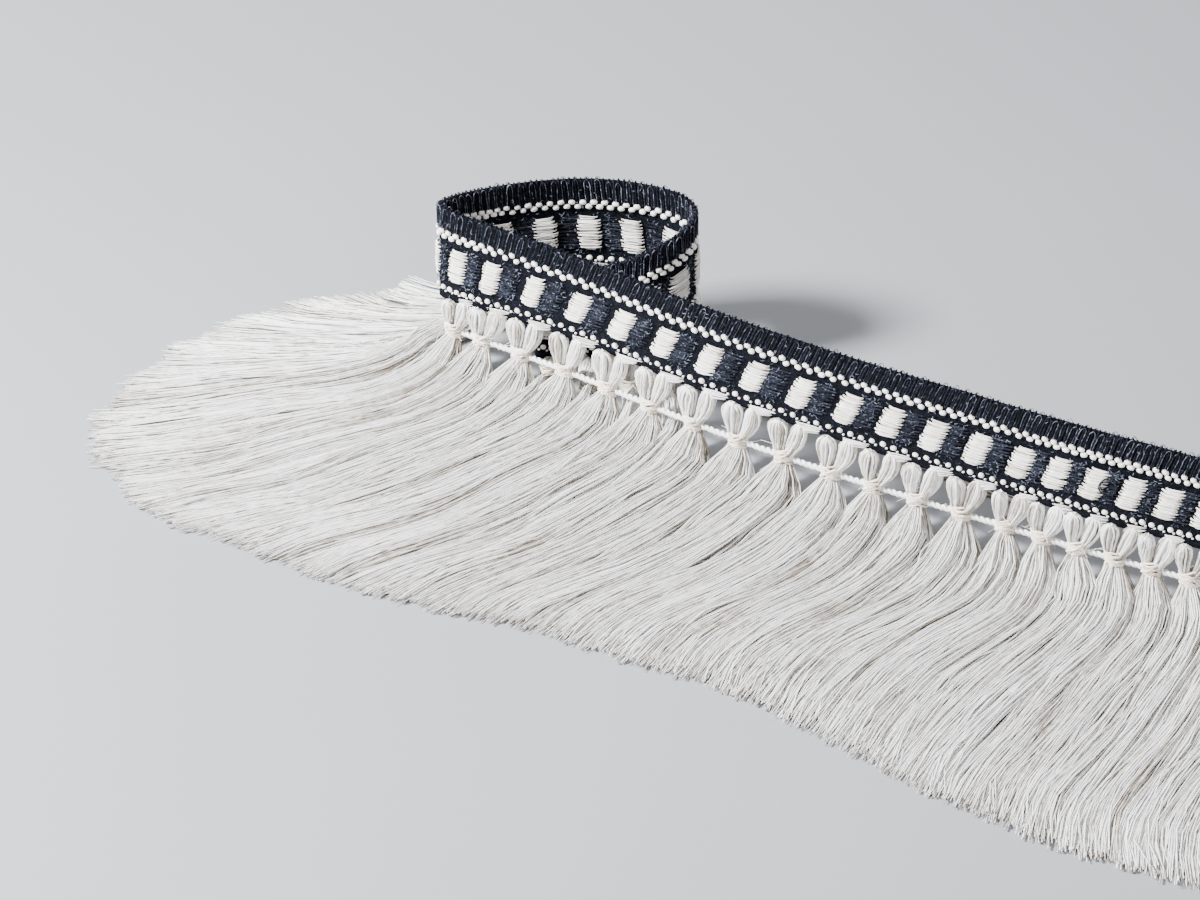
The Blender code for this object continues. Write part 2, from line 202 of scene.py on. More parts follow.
TAPE_PATH = (
    PathRow("inner end", 36.0, -19.5, 45.5, 0.0),
    PathRow("strip low", 53.0, -23.0, 46.5, 0.0),
    PathRow("strip mid", 70.0, -24.0, 51.0, 0.0),
    PathRow("strip high", 84.0, -23.0, 57.0, 0.0),
    PathRow("right turn front", 94.0, -17.0, 61.5, 0.0),
    PathRow("right turn", 97.5, -7.0, 63.5, 1.0),
    PathRow("right turn back", 92.0, 5.0, 63.5, 3.0),
    PathRow("back run right", 78.0, 13.0, 63.5, 5.0),
    PathRow("back run mid", 56.0, 17.5, 63.5, 5.0),
    PathRow("back run left", 33.0, 14.5, 63.5, 5.0),
    PathRow("left turn back", 9.0, 6.5, 63.5, 5.0),
    PathRow("left turn", -0.5, -1.5, 63.5, 5.0),
    PathRow("left turn front", 5.0, -8.5, 63.5, 6.0),
    PathRow("front start", 26.0, -23.0, 63.5, 14.0),
    PathRow("front left", 56.0, -45.0, 63.5, 22.0),
    PathRow("front mid left", 100.0, -79.5, 63.5, 23.0),
    PathRow("front mid", 145.0, -110.5, 63.5, 23.0),
    PathRow("front mid right", 198.0, -142.0, 63.5, 20.0),
    PathRow("front right", 238.0, -165.0, 63.5, 18.0),
    PathRow("straight start", 276.0, -185.0, 63.5, 18.0),
    PathRow("cut right end", 352.0, -225.0, 63.5, 18.0),
)

FRONT_PITCHES = (
    PitchRow("left turn", 1, 13.5),
    PitchRow("front start", 1, 18.4),
    PitchRow("front left and mid", 7, 20.7),
    PitchRow("front mid right", 4, 18.4),
    PitchRow("front right", 5, 14.9),
    PitchRow("beyond", 5, 15.4),
)

# Pattern repeats from the first front tassel back round the loop to the inner end.
BACK_REPEATS = (
    PitchRow("left turn", 3, 12.87),
    PitchRow("back run", 5, 17.3),
    PitchRow("right turn and strip", 6, 12.6),
)

FRONT_SWEEP = (
    SweepRow(0.0, 205.5, 150.0, 262.0, 193.0, 0.0, 0.0),
    SweepRow(1.0, 211.0, 160.0, 262.0, 199.0, 0.0, 0.5),
    SweepRow(2.0, 216.0, 168.0, 262.0, 206.0, 0.0, 1.0),
    SweepRow(5.0, 223.0, 158.0, 262.0, 219.0, 0.0, 3.0),
    SweepRow(8.0, 228.5, 137.0, 262.0, 230.0, 0.5, 5.0),
    SweepRow(11.0, 233.5, 133.0, 262.0, 238.0, 2.0, 5.0),
    SweepRow(13.0, 237.5, 140.0, 263.0, 244.0, 3.0, 5.0),
    SweepRow(18.0, 250.0, 164.0, 266.0, 254.0, 3.5, 4.0),
    SweepRow(23.0, 258.5, 169.0, 268.0, 261.0, 3.5, 4.0),
)

OUTER_LANES = (
    LaneRow("tassel_back_1", 16.0, Run.BACK, 6.2, 0.05, 15.5,
            ((8.0, 7.5), (-6.0, -2.0), (-20.0, -16.0), (-50.0, -30.0), (-90.0, -39.5), (-126.0, -43.0))),
    LaneRow("tassel_back_2", 34.0, Run.BACK, 6.2, 0.1, 13.0,
            ((22.0, 14.5), (4.0, 7.0), (-12.0, -5.0), (-45.0, -15.5), (-85.0, -18.0), (-112.0, -16.0))),
    LaneRow("tassel_back_3", 53.0, Run.BACK, 6.2, 0.15, 9.2,
            ((40.0, 20.0), (18.0, 15.5), (-4.0, 4.0), (-35.0, -3.0), (-70.0, 0.0), (-92.0, 6.0))),
    LaneRow("tassel_back_4", 72.0, Run.BACK, 6.2, 0.2, 8.2,
            ((60.0, 22.0), (35.0, 23.0), (8.0, 14.0), (-20.0, 10.0), (-50.0, 14.0), (-68.0, 21.5))),
    LaneRow("tassel_back_5", 87.0, Run.BACK, 6.2, 0.25, 9.0,
            ((80.0, 20.0), (55.0, 27.0), (25.0, 25.0), (-5.0, 20.5), (-26.0, 24.5), (-38.0, 34.0))),
    LaneRow("tassel_turn_1", 97.3, Run.TURN, 7.0, 0.1, 13.5,
            ((111.0, -6.0), (149.0, -27.0), (194.0, -55.0), (234.0, -80.0))),
    LaneRow("tassel_turn_2", 93.0, Run.STRIP, 7.0, 0.1, 15.5,
            ((106.0, -33.0), (145.0, -55.0), (190.0, -83.0), (226.0, -107.0))),
)

INNER_TASSELS = (
    InnerRow("tassel_inner_1", 85.0, 5.48, 15.0, 6.0, 116.0),
    InnerRow("tassel_inner_2", 72.0, 4.5, 14.0, 7.0, 132.0),
    InnerRow("tassel_inner_3", 58.0, 3.5, 11.5, 4.0, 142.0),
    InnerRow("tassel_inner_4", 45.0, 2.5, 7.0, 0.0, 148.0),
)

LOBES = (
    LobeRow("left", -1.9, -1.8, 39.3, -1.9, 3.9, 0.15, 2.9, -0.3,
            (0.45, 0.52, 0.64, 0.83, 0.95, 1.0, 0.93, 0.7, 0.16)),
    LobeRow("right", 2.0, 6.8, 38.7, -0.5, 3.35, -0.08, 2.8, 1.1,
            (0.5, 0.56, 0.76, 0.95, 1.0, 0.97, 0.82, 0.56, 0.14)),
)

ZIGZAG_ROWS = (
    BeadRow("zigzag_upper", 0.125, 9.9, (1.36, 1.08, 0.85)),
    BeadRow("zigzag_lower", 0.0, 11.8, (1.36, 1.08, 0.85)),
)
LOWER_ROWS = (
    BeadRow("lower_beads", 0.1, 34.9, (1.2, 0.95, 0.85)),
    BeadRow("lower_specks", 0.2125, 36.15, (0.55, 0.4, 0.5), 6, 4),
)

SATIN_BLOCK = BlockRow("heading_satin_floats", 0.05, 4.1, 22, 1.1, 0.95, 1.0)
HEATHER_BLOCK = BlockRow("heading_navy_floats", 0.43, 4.1, 19, 2.2, 0.25, 0.42)

LIGHTS = (
    LightRow("key", (-1.15, -0.15, 0.95), 0.32, 118.0),
    LightRow("fill", (0.7, -1.3, 1.0), 1.3, 15.0),
    LightRow("top", (0.1, 0.5, 1.6), 1.2, 18.0),
)


def linear(code: str) -> tuple:
    """Turn an sRGB hex colour into linear values.

    Args:
        code: colour as "#RRGGBB".

    Returns:
        Red, green, blue and alpha for a shader socket.
    """
    values = []
    for start in (1, 3, 5):
        level = int(code[start:start + 2], 16) / 255.0
        values.append(level / 12.92 if level <= 0.04045 else ((level + 0.055) / 1.055) ** 2.4)
    return (*values, 1.0)


def set_inputs(tree: bpy.types.NodeTree, node: bpy.types.Node, inputs: dict) -> None:
    """Give a node's inputs their values and links.

    Args:
        tree: tree of the node.
        node: the node.
        inputs: values, or sockets to link from, by input name or number.
    """
    for key, value in inputs.items():
        if isinstance(value, bpy.types.NodeSocket):
            tree.links.new(value, node.inputs[key])
        else:
            node.inputs[key].default_value = value


def add_node(tree: bpy.types.NodeTree, kind: str, inputs: dict | None = None, stops: tuple = (),
             **settings) -> bpy.types.Node:
    """Add one node to a shader or geometry tree.

    Args:
        tree: tree that takes the node.
        kind: Blender's name for the node's type.
        inputs: values, or sockets to link from, by input name or number.
        stops: places and hex colours of a colour ramp, in rising order.
        settings: properties of the node.

    Returns:
        The new node.
    """
    node = tree.nodes.new(kind)
    for name, value in settings.items():
        setattr(node, name, value)
    for number, (place, code) in enumerate(stops):
        ramp = node.color_ramp.elements
        stop = ramp[number] if number < len(ramp) else ramp.new(place)
        stop.position = place
        stop.color = linear(code)
    set_inputs(tree, node, inputs or {})
    return node


def new_material(name: str) -> tuple:
    """Start a material.

    Args:
        name: name of the material.

    Returns:
        The material, its node tree and its Principled shader.
    """
    material = bpy.data.materials.new(name)
    material.use_nodes = True
    return material, material.node_tree, material.node_tree.nodes["Principled BSDF"]


def hermite(values: np.ndarray, marks: np.ndarray, steps: int) -> np.ndarray:
    """Points of a smooth curve through values.

    Args:
        values: rows that the curve passes through.
        marks: distance at which each row stands.
        steps: points made between two rows.

    Returns:
        The dense rows.
    """
    last = len(values) - 1
    before = np.maximum(np.arange(last + 1) - 1, 0)
    after = np.minimum(np.arange(last + 1) + 1, last)
    slopes = (values[after] - values[before]) / (marks[after] - marks[before])[:, None]
    t = (np.arange(steps) / steps)[None, :, None]
    span = np.diff(marks)[:, None, None]
    dense = ((2 * t**3 - 3 * t**2 + 1) * values[:-1, None] + (t**3 - 2 * t**2 + t) * span * slopes[:-1, None]
             + (3 * t**2 - 2 * t**3) * values[1:, None] + (t**3 - t**2) * span * slopes[1:, None])
    return np.vstack([dense.reshape(-1, values.shape[1]), values[-1:]])


def running_length(points: np.ndarray) -> np.ndarray:
    """Distance of each plan point along the line through them."""
    steps = np.linalg.norm(np.diff(points[:, :2], axis=0), axis=1)
    return np.concatenate([[0.0], np.cumsum(steps)])


def row_value(rows: tuple, key: str, name: str, place: float) -> float:
    """Value of a field between the rows of a table.

    Args:
        rows: table rows in rising order of key.
        key: field that place is measured in.
        name: field whose value is wanted.
        place: where in the table.

    Returns:
        The value, straight on past the table's ends.
    """
    keys = np.array([getattr(row, key) for row in rows])
    values = np.array([getattr(row, name) for row in rows])
    index = int(np.clip(np.searchsorted(keys, place, side="right") - 1, 0, len(rows) - 2))
    share = (place - keys[index]) / (keys[index + 1] - keys[index])
    return float(values[index] + (values[index + 1] - values[index]) * share)


def single_pitches(rows: tuple) -> list:
    """The pitch of every single tassel or repeat of a table."""
    return [row.pitch for row in rows for _ in range(row.count)]


def unit_way(degrees: float) -> np.ndarray:
    """Unit plan vector at an angle."""
    return np.array([math.cos(math.radians(degrees)), math.sin(math.radians(degrees))])


def around(rng: np.random.Generator, most: float, shape: tuple | int) -> np.ndarray:
    """Random numbers from -most to most."""
    return rng.uniform(-most, most, shape)


@dataclass
class TapeLine:
    """The line on which the heading stands, worked out from the path table."""

    rows: tuple = TAPE_PATH
    depth: float = 40.0
    thick: float = 1.6
    steps: int = 14
    way_reach: float = 1.5
    column_rounds: int = 4
    search_steps: int = 400

    def __post_init__(self) -> None:
        """Work out the dense line and where it stands in the frame."""
        values = np.array([(row.x, row.y, row.top, row.skew) for row in self.rows])
        self.samples = hermite(values, running_length(values), self.steps)
        self.arcs = running_length(self.samples)
        self.length = float(self.arcs[-1])
        low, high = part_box("heading")
        end = self.samples[-1, :2]
        _, normal = self.ways(np.array([self.length]))
        reach = np.abs(normal[0]) * self.thick / 2.0
        self.shift = np.array([high[0] / MM - end[0] - reach[0], low[1] / MM - end[1] + reach[1], 0.0])

    def at(self, arc: np.ndarray) -> np.ndarray:
        """Rows of the path at distances along it, straight on past its ends.

        Args:
            arc: distances along the line.

        Returns:
            Rows of x, y, top and skew.
        """
        arc = np.asarray(arc, float)
        index = np.clip(np.searchsorted(self.arcs, arc, side="right") - 1, 0, len(self.arcs) - 2)
        share = (arc - self.arcs[index]) / (self.arcs[index + 1] - self.arcs[index])
        low, high = self.samples[index], self.samples[index + 1]
        return low + (high - low) * share[..., None]

    def ways(self, arc: np.ndarray) -> tuple:
        """Unit plan vectors along the line and towards the inside of the loop.

        Args:
            arc: distances along the line.

        Returns:
            The vectors along, and the vectors inwards.
        """
        along = self.at(arc + self.way_reach)[..., :2] - self.at(arc - self.way_reach)[..., :2]
        along = along / np.linalg.norm(along, axis=-1, keepdims=True)
        return along, np.stack([-along[..., 1], along[..., 0]], -1)

    def level_ways(self, arc: float) -> tuple:
        """The same two unit vectors at one place, as level vectors in space."""
        return tuple(np.array([*vectors[0], 0.0]) for vectors in self.ways(np.array([arc])))

    def place(self, arc: np.ndarray, depth: np.ndarray, lift: np.ndarray) -> np.ndarray:
        """Points of the heading in the fringe's own plan.

        Args:
            arc: distances along the top edge.
            depth: distances down a woven column.
            lift: distances off the middle surface, towards the inside of the loop.

        Returns:
            The points in millimetres.
        """
        arc, depth, lift = np.broadcast_arrays(*(np.asarray(item, float) for item in (arc, depth, lift)))
        rows = self.at(arc)
        slant = np.radians(rows[..., 3])
        foot = arc - depth * np.sin(slant)
        _, inward = self.ways(foot)
        plan = self.at(foot)[..., :2] + inward * lift[..., None]
        return np.concatenate([plan, (rows[..., 2] - depth * np.cos(slant))[..., None]], -1)

    def column(self, foot: np.ndarray) -> np.ndarray:
        """Distances along the top edge of the columns whose lower ends stand at foot.

        Args:
            foot: distances along the lower edge.

        Returns:
            Distances along the top edge.
        """
        arc = np.asarray(foot, float)
        for _ in range(self.column_rounds):
            arc = foot + self.depth * np.sin(np.radians(self.at(arc)[..., 3]))
        return arc

    def find_x(self, x: float, low: float, high: float) -> float:
        """Distance along the line, between low and high, where its plan x is nearest to x."""
        arcs = low + (high - low) * np.arange(self.search_steps + 1) / self.search_steps
        return float(arcs[np.argmin(np.abs(self.at(arcs)[:, 0] - x))])


@dataclass
class TasselPlan:
    """Where one tassel stands and how its skirt lies."""

    node: str
    foot: float
    pitch: float
    knot: np.ndarray
    lane: np.ndarray
    near: float
    hold: float
    tip: float
    yarns: int
    next_knot: np.ndarray | None = None
    rim_slope: float = 0.0
    hook: float = 0.0
    roomy_pitch: float = 15.0

    @property
    def squeeze(self) -> float:
        """Share of its full width that the head has where the tassels stand close."""
        return min(1.0, self.pitch / self.roomy_pitch)


@dataclass
class FringeLayout:
    """All tassels of the fringe and the places of the woven repeats."""

    line: TapeLine
    first_x: float = 4.6
    first_arcs: tuple = (180.0, 260.0)
    left_x: float = -0.5
    left_arcs: tuple = (120.0, 260.0)
    turn_x: float = 97.5
    turn_arcs: tuple = (0.0, 100.0)
    turn_sides: tuple = (8.0, 12.0)
    repeats_beyond: int = 3
    knot_height: float = 11.5
    back_pitch: float = 17.0
    turn_pitch: float = 11.0
    inner_pitch: float = 14.0
    inner_width: float = 5.0
    inner_spread: float = 13.0
    inner_knot_height: float = 3.8
    inner_gate: float = 8.0
    inner_shares: tuple = (0.4, 0.7, 1.0)
    front_yarns: int = 150
    outer_yarns: int = 100
    inner_yarns: int = 66
    front_points: int = 7
    rim_overlap: float = 1.25
    near_overlap: float = 1.12
    back_overlap: float = 1.7
    lane_stiffness: float = 0.29
    rim_start: tuple = (15.0, 43.0)

    def __post_init__(self) -> None:
        """Work out the tassels' feet and the pattern's repeats."""
        start = self.line.find_x(self.first_x, *self.first_arcs)
        self.turn = self.line.find_x(self.turn_x, *self.turn_arcs)
        self.pitches = single_pitches(FRONT_PITCHES)
        self.feet = start + np.concatenate([[0.0], np.cumsum(self.pitches)])
        self.pitches.append(self.pitches[-1])
        before = start - np.cumsum(single_pitches(BACK_REPEATS))
        after = self.feet[-1] + np.arange(1, self.repeats_beyond + 1) * self.pitches[-1]
        self.repeat_feet = np.concatenate([before[::-1], self.feet, after])

    def repeat_arc(self, count: np.ndarray) -> np.ndarray:
        """Distance along the top edge of the column at a place in the pattern, in repeats."""
        foot = np.interp(count, np.arange(len(self.repeat_feet)), self.repeat_feet)
        return self.line.column(foot)

    def sweep_point(self, index: float, distance: float) -> tuple:
        """Plan point on the bowed line along which a front skirt lies.

        Args:
            index: count of the front tassel, or a place between two.
            distance: how far along the line.

        Returns:
            Its x and y.
        """
        low = min(int(index), len(self.feet) - 2)
        foot = self.feet[low] + (self.feet[low + 1] - self.feet[low]) * (index - low)
        angle, reach, leave, land, wave = (row_value(FRONT_SWEEP, "tassel", name, index)
                                           for name in ("angle", "reach", "leave", "land", "wave"))
        leaving, way, landing = unit_way(leave), unit_way(angle), unit_way(land)
        start = self.line.at(np.array([foot]))[0, :2]
        share = distance / reach
        if share <= 0.0:
            return tuple(start + leaving * distance)
        end = start + way * reach
        first = start + leaving * reach * self.lane_stiffness
        last = end - landing * reach * self.lane_stiffness
        rest = 1.0 - share
        bowed = (start * rest**3 + first * 3.0 * rest**2 * share + last * 3.0 * rest * share**2
                 + end * share**3)
        across = np.array([-way[1], way[0]])
        return tuple(bowed + across * wave * math.sin(TURN * share))

    def set_rim(self, fan: list) -> None:
        """Fit each skirt's width and slanted cut to its neighbours, so that the tips make one rim.

        Args:
            fan: plans in the order in which their skirts lie side by side.
        """
        ends = [np.array(self.rim_start), *(plan.lane[-1] for plan in fan)]
        ends.append(2.0 * ends[-1] - ends[-2])
        for index, plan in enumerate(fan):
            step = (ends[index + 2] - ends[index]) / 2.0
            way = plan.lane[-1] - plan.lane[-2]
            way = way / np.linalg.norm(way)
            sideways = step @ np.array([-way[1], way[0]])
            plan.rim_slope = float(step @ way / sideways)
            plan.tip = abs(float(sideways)) * self.rim_overlap

    def front(self) -> list:
        """Plans of the tassels of the front run, each linked to the next knot.

        Returns:
            The plans from left to right.
        """
        plans = []
        for index, (foot, pitch) in enumerate(zip(self.feet, self.pitches)):
            reach, hook = (row_value(FRONT_SWEEP, "tassel", name, index) for name in ("reach", "hook"))
            lane = np.array([self.sweep_point(index, reach * share)
                             for share in np.linspace(0.0, 1.0, self.front_points)])
            knot = np.array([*lane[0], self.knot_height])
            near = pitch * self.near_overlap
            plans.append(TasselPlan(f"tassel_front_{index + 1:02d}", foot, pitch, knot, lane, near, 0.0, near,
                                    self.front_yarns, hook=hook))
        for plan, following in zip(plans, plans[1:]):
            plan.next_knot = following.knot
        return plans

    def outer(self) -> list:
        """Plans of the tassels of the back run and the right turn.

        Returns:
            The plans in the order of their table.
        """
        left = self.line.find_x(self.left_x, *self.left_arcs)
        strip_end, back_start = self.turn - self.turn_sides[0], self.turn + self.turn_sides[1]
        limits = {Run.BACK: (back_start, left), Run.TURN: (strip_end, back_start),
                  Run.STRIP: (0.0, strip_end)}
        plans = []
        for row in OUTER_LANES:
            foot = self.line.find_x(row.x, *limits[row.run])
            x, y = self.line.at(np.array([foot]))[0, :2]
            pitch = self.back_pitch if row.run is Run.BACK else self.turn_pitch
            plans.append(TasselPlan(row.name, foot, pitch, np.array([x, y, self.knot_height]),
                                    np.array([(x, y), *row.way]), row.near * self.back_overlap,
                                    row.hold, row.tip * self.back_overlap, self.outer_yarns))
        return plans

    def inner(self) -> list:
        """Plans of the tassels of the inner strip.

        Returns:
            The plans in the order of their table.
        """
        plans = []
        for row in INNER_TASSELS:
            foot = self.line.find_x(row.x, 0.0, self.turn)
            start = self.line.at(np.array([foot]))[0, :2]
            gate = np.array(self.sweep_point(row.between, 0.0))
            way = (gate - start) / np.linalg.norm(gate - start)
            knot = np.array([*(start + way * row.knot_out), self.inner_knot_height])
            distances = (-row.lead, self.inner_gate, *(row.reach * share for share in self.inner_shares))
            lane = [knot[:2], *(self.sweep_point(row.between, distance) for distance in distances)]
            plans.append(TasselPlan(row.name, foot, self.inner_pitch, knot, np.array(lane),
                                    self.inner_width, 0.0, self.inner_spread, self.inner_yarns))
        return plans

    def plans(self) -> list:
        """Plans of all the tassels, with one rim along the tips of the back and front skirts.

        Returns:
            The plans of the front run, then the outer and the inner ones.
        """
        front, outer = self.front(), self.outer()
        back = [plan for plan, row in zip(outer, OUTER_LANES) if row.run is Run.BACK]
        self.set_rim([*reversed(back), *front])
        return [*front, *outer, *self.inner()]


@dataclass(frozen=True)
class YarnFinish:
    """Spun yarn, soft and matt. The fuzz on it scatters light, so it has sheen and no gloss.

    Each strand has its own tone, which on some pieces also holds painted shade, and its thick and thin
    places vary it along the strand.
    """

    name: str
    pale: str
    mid: str
    shade: str
    roughness: float
    sheen: float
    specular: float
    slub_mm: float
    slub: float = 0.5
    slub_detail: float = 3.0
    mid_place: float = 0.45
    sheen_roughness: float = 0.5

    def build(self) -> bpy.types.Material:
        """Make the material.

        Returns:
            The material.
        """
        material, tree, shader = new_material(self.name)
        place = add_node(tree, "ShaderNodeTexCoord")
        tone = add_node(tree, "ShaderNodeAttribute", attribute_name="tone")
        slub = add_node(tree, "ShaderNodeTexNoise", {
            "Vector": place.outputs["Object"], "Scale": 1.0 / (self.slub_mm * MM),
            "Detail": self.slub_detail})
        spread = add_node(tree, "ShaderNodeMath", {0: slub.outputs["Fac"], 1: self.slub, 2: -self.slub / 2.0},
                          operation="MULTIPLY_ADD")
        level = add_node(tree, "ShaderNodeMath", {0: tone.outputs["Fac"], 1: spread.outputs[0]},
                         operation="ADD")
        ramp = add_node(tree, "ShaderNodeValToRGB", {"Fac": level.outputs[0]},
                        ((0.0, self.shade), (self.mid_place, self.mid), (1.0, self.pale)))
        set_inputs(tree, shader, {
            "Base Color": ramp.outputs["Color"], "Roughness": self.roughness, "Sheen Weight": self.sheen,
            "Sheen Roughness": self.sheen_roughness, "Specular IOR Level": self.specular})
        return material


@dataclass(frozen=True)
class NavyCloth:
    """Navy wool weft packed over black warps. Hardly any gloss, with paler hairs that catch light.

    Real picks and warps are too fine to show in the render, so they are drawn coarser.
    """

    name: str = "navy_wool_weave"
    deep: tuple = (0.4, "#020204")
    body: tuple = (0.53, "#06080E")
    fleck: tuple = (0.72, "#2B3040")
    pick_mm: float = 0.9
    warp_mm: float = 1.2
    ridge: float = 0.12
    fibre_mm: float = 0.8
    fibre_detail: float = 5.0
    fibre_roughness: float = 0.75
    fibre_curl: float = 1.6
    bump: float = 0.8
    bump_mm: float = 0.5
    roughness: float = 0.95
    specular: float = 0.08

    def build(self) -> bpy.types.Material:
        """Make the weave on the heading's own map, which is in millimetres.

        Returns:
            The material.
        """
        material, tree, shader = new_material(self.name)
        chart = add_node(tree, "ShaderNodeUVMap", uv_map=WEAVE_MAP)
        axes = add_node(tree, "ShaderNodeSeparateXYZ", {0: chart.outputs["UV"]})
        waves = []
        for axis, spacing in (("Y", self.pick_mm), ("X", self.warp_mm)):
            turns = add_node(tree, "ShaderNodeMath", {0: axes.outputs[axis], 1: TURN / spacing},
                             operation="MULTIPLY")
            waves.append(add_node(tree, "ShaderNodeMath", {0: turns.outputs[0]}, operation="SINE"))
        weave = add_node(tree, "ShaderNodeMath", {0: waves[0].outputs[0], 1: waves[1].outputs[0]},
                         operation="MULTIPLY")
        grain = add_node(tree, "ShaderNodeTexNoise", {
            "Vector": chart.outputs["UV"], "Scale": 1.0 / self.fibre_mm, "Detail": self.fibre_detail,
            "Roughness": self.fibre_roughness, "Distortion": self.fibre_curl})
        height = add_node(tree, "ShaderNodeMath", {
            0: weave.outputs[0], 1: self.ridge, 2: grain.outputs["Fac"]}, operation="MULTIPLY_ADD")
        ramp = add_node(tree, "ShaderNodeValToRGB", {"Fac": height.outputs[0]},
                        (self.deep, self.body, self.fleck))
        bump = add_node(tree, "ShaderNodeBump", {
            "Height": height.outputs[0], "Strength": self.bump, "Distance": self.bump_mm * MM})
        set_inputs(tree, shader, {
            "Base Color": ramp.outputs["Color"], "Normal": bump.outputs["Normal"],
            "Roughness": self.roughness, "Sheen Weight": 0.0, "Specular IOR Level": self.specular})
        return material


@dataclass(frozen=True)
class FloorFinish:
    """Pale matt board. It gives an even ground that keeps the ivory apart from it."""

    name: str = "pale_board"
    low: str = "#8D9095"
    high: str = "#94979C"
    patch_mm: float = 260.0
    patch_detail: float = 2.0
    roughness: float = 0.9
    specular: float = 0.2

    def build(self) -> bpy.types.Material:
        """Make the board with a faint, broad unevenness.

        Returns:
            The material.
        """
        material, tree, shader = new_material(self.name)
        place = add_node(tree, "ShaderNodeTexCoord")
        patch = add_node(tree, "ShaderNodeTexNoise", {
            "Vector": place.outputs["Object"], "Scale": 1.0 / (self.patch_mm * MM),
            "Detail": self.patch_detail})
        ramp = add_node(tree, "ShaderNodeValToRGB", {"Fac": patch.outputs["Fac"]},
                        ((0.0, self.low), (1.0, self.high)))
        set_inputs(tree, shader, {"Base Color": ramp.outputs["Color"], "Roughness": self.roughness,
                                  "Specular IOR Level": self.specular})
        return material


# Loosely spun navy wool: it drinks the light, and only single fibres show pale.
NAVY_WOOL = YarnFinish("navy_wool_yarn", "#828898", "#2A2E3B", "#040508", 0.95, 0.02, 0.1, 0.9, 1.5)
# Slack floats of a smooth yarn: the brightest thing on the tape, with a soft gloss along them.
IVORY_SATIN = YarnFinish("ivory_satin_float", "#FFFEFC", "#F4F1EB", "#B9B1A4", 0.6, 0.3, 0.45, 1.6)
# Soft spun cotton: a neutral ivory on its ridges, and a warm grey where strands shade each other.
IVORY_SPUN = YarnFinish("ivory_spun_yarn", "#FEFFFF", "#E8E6E5", "#9A8F7F", 0.72, 0.3, 0.4, 3.0, 0.8)
# The yarn round the knots: the same cotton, drawn a little peachier and duller as painted warm shade.
SHADED_KNOT_YARN = YarnFinish("knot_yarn", "#FCF4E9", "#EFE0CD", "#C4A580", 0.75, 0.25, 0.3, 1.6)


@dataclass
class Finishes:
    """Every finish of the fringe, built once."""

    cloth: bpy.types.Material = field(default_factory=NavyCloth().build)
    navy: bpy.types.Material = field(default_factory=NAVY_WOOL.build)
    satin: bpy.types.Material = field(default_factory=IVORY_SATIN.build)
    ivory: bpy.types.Material = field(default_factory=IVORY_SPUN.build)
    # The knot yarn, drawn with painted warm shade.
    shaded_knot: bpy.types.Material = field(default_factory=SHADED_KNOT_YARN.build)


def new_object(name: str, data: bpy.types.ID) -> bpy.types.Object:
    """Put a mesh, camera or light in the scene as an object at the origin.

    Args:
        name: object name.
        data: what it shows.

    Returns:
        The object.
    """
    item = bpy.data.objects.new(name, data)
    bpy.context.scene.collection.objects.link(item)
    return item


def plain_object(item: bpy.types.Object) -> bpy.types.Object:
    """Replace an object's modifiers by the mesh that they make.

    Args:
        item: object with modifiers.

    Returns:
        The same object with a plain mesh.
    """
    bpy.context.view_layer.update()
    graph = bpy.context.evaluated_depsgraph_get()
    evaluated = item.evaluated_get(graph)
    mesh = bpy.data.meshes.new_from_object(evaluated, preserve_all_data_layers=True, depsgraph=graph)
    item.modifiers.clear()
    item.data = mesh
    mesh.name = item.name
    return item


def join_pieces(name: str, pieces: list) -> bpy.types.Object:
    """Join plain objects into one that keeps each face's finish.

    Args:
        name: name of the result.
        pieces: objects with plain meshes.

    Returns:
        The joined object.
    """
    work = bmesh.new()
    target = bpy.data.meshes.new(name)
    slots = []
    for piece in pieces:
        used = list(piece.data.materials)
        for material in used:
            if material not in slots:
                slots.append(material)
        start = len(work.faces)
        work.from_mesh(piece.data)
        work.faces.ensure_lookup_table()
        for index in range(start, len(work.faces)):
            work.faces[index].material_index = slots.index(used[work.faces[index].material_index])
    work.to_mesh(target)
    work.free()
    for material in slots:
        target.materials.append(material)
    for piece in pieces:
        bpy.data.objects.remove(piece, do_unlink=True)
    return new_object(name, target)


class PieceTree:
    """A Geometry Nodes tree with named inputs, which turns lines or points into a piece."""

    def __init__(self, name: str, inputs: dict) -> None:
        """Start the tree.

        Args:
            name: name of the tree.
            inputs: socket types of the inputs that follow the geometry, by their names.
        """
        self.tree = bpy.data.node_groups.new(name, "GeometryNodeTree")
        ends = self.tree.interface
        ends.new_socket("Geometry", in_out="INPUT", socket_type="NodeSocketGeometry")
        self.keys = {title: ends.new_socket(title, in_out="INPUT", socket_type=kind).identifier
                     for title, kind in inputs.items()}
        ends.new_socket("Geometry", in_out="OUTPUT", socket_type="NodeSocketGeometry")
        self.enter = add_node(self.tree, "NodeGroupInput")

    def end(self, shape: bpy.types.NodeSocket) -> None:
        """End the tree with real geometry that is smooth and has its finish.

        Args:
            shape: socket that gives the tree's shape.
        """
        real = add_node(self.tree, "GeometryNodeRealizeInstances", {0: shape})
        smooth = add_node(self.tree, "GeometryNodeSetShadeSmooth", {0: real.outputs[0]})
        dressed = add_node(self.tree, "GeometryNodeSetMaterial", {
            "Geometry": smooth.outputs[0], "Material": self.enter.outputs["Finish"]})
        add_node(self.tree, "NodeGroupOutput", {"Geometry": dressed.outputs[0]})

    def apply(self, item: bpy.types.Object, values: dict) -> bpy.types.Object:
        """Turn an object into the plain mesh that the tree makes of it.

        Args:
            item: object with lines or points.
            values: values of the inputs by their names.

        Returns:
            The same object with a plain mesh.
        """
        modifier = item.modifiers.new(self.tree.name, "NODES")
        modifier.node_group = self.tree
        for title, value in values.items():
            modifier[self.keys[title]] = value
        return plain_object(item)


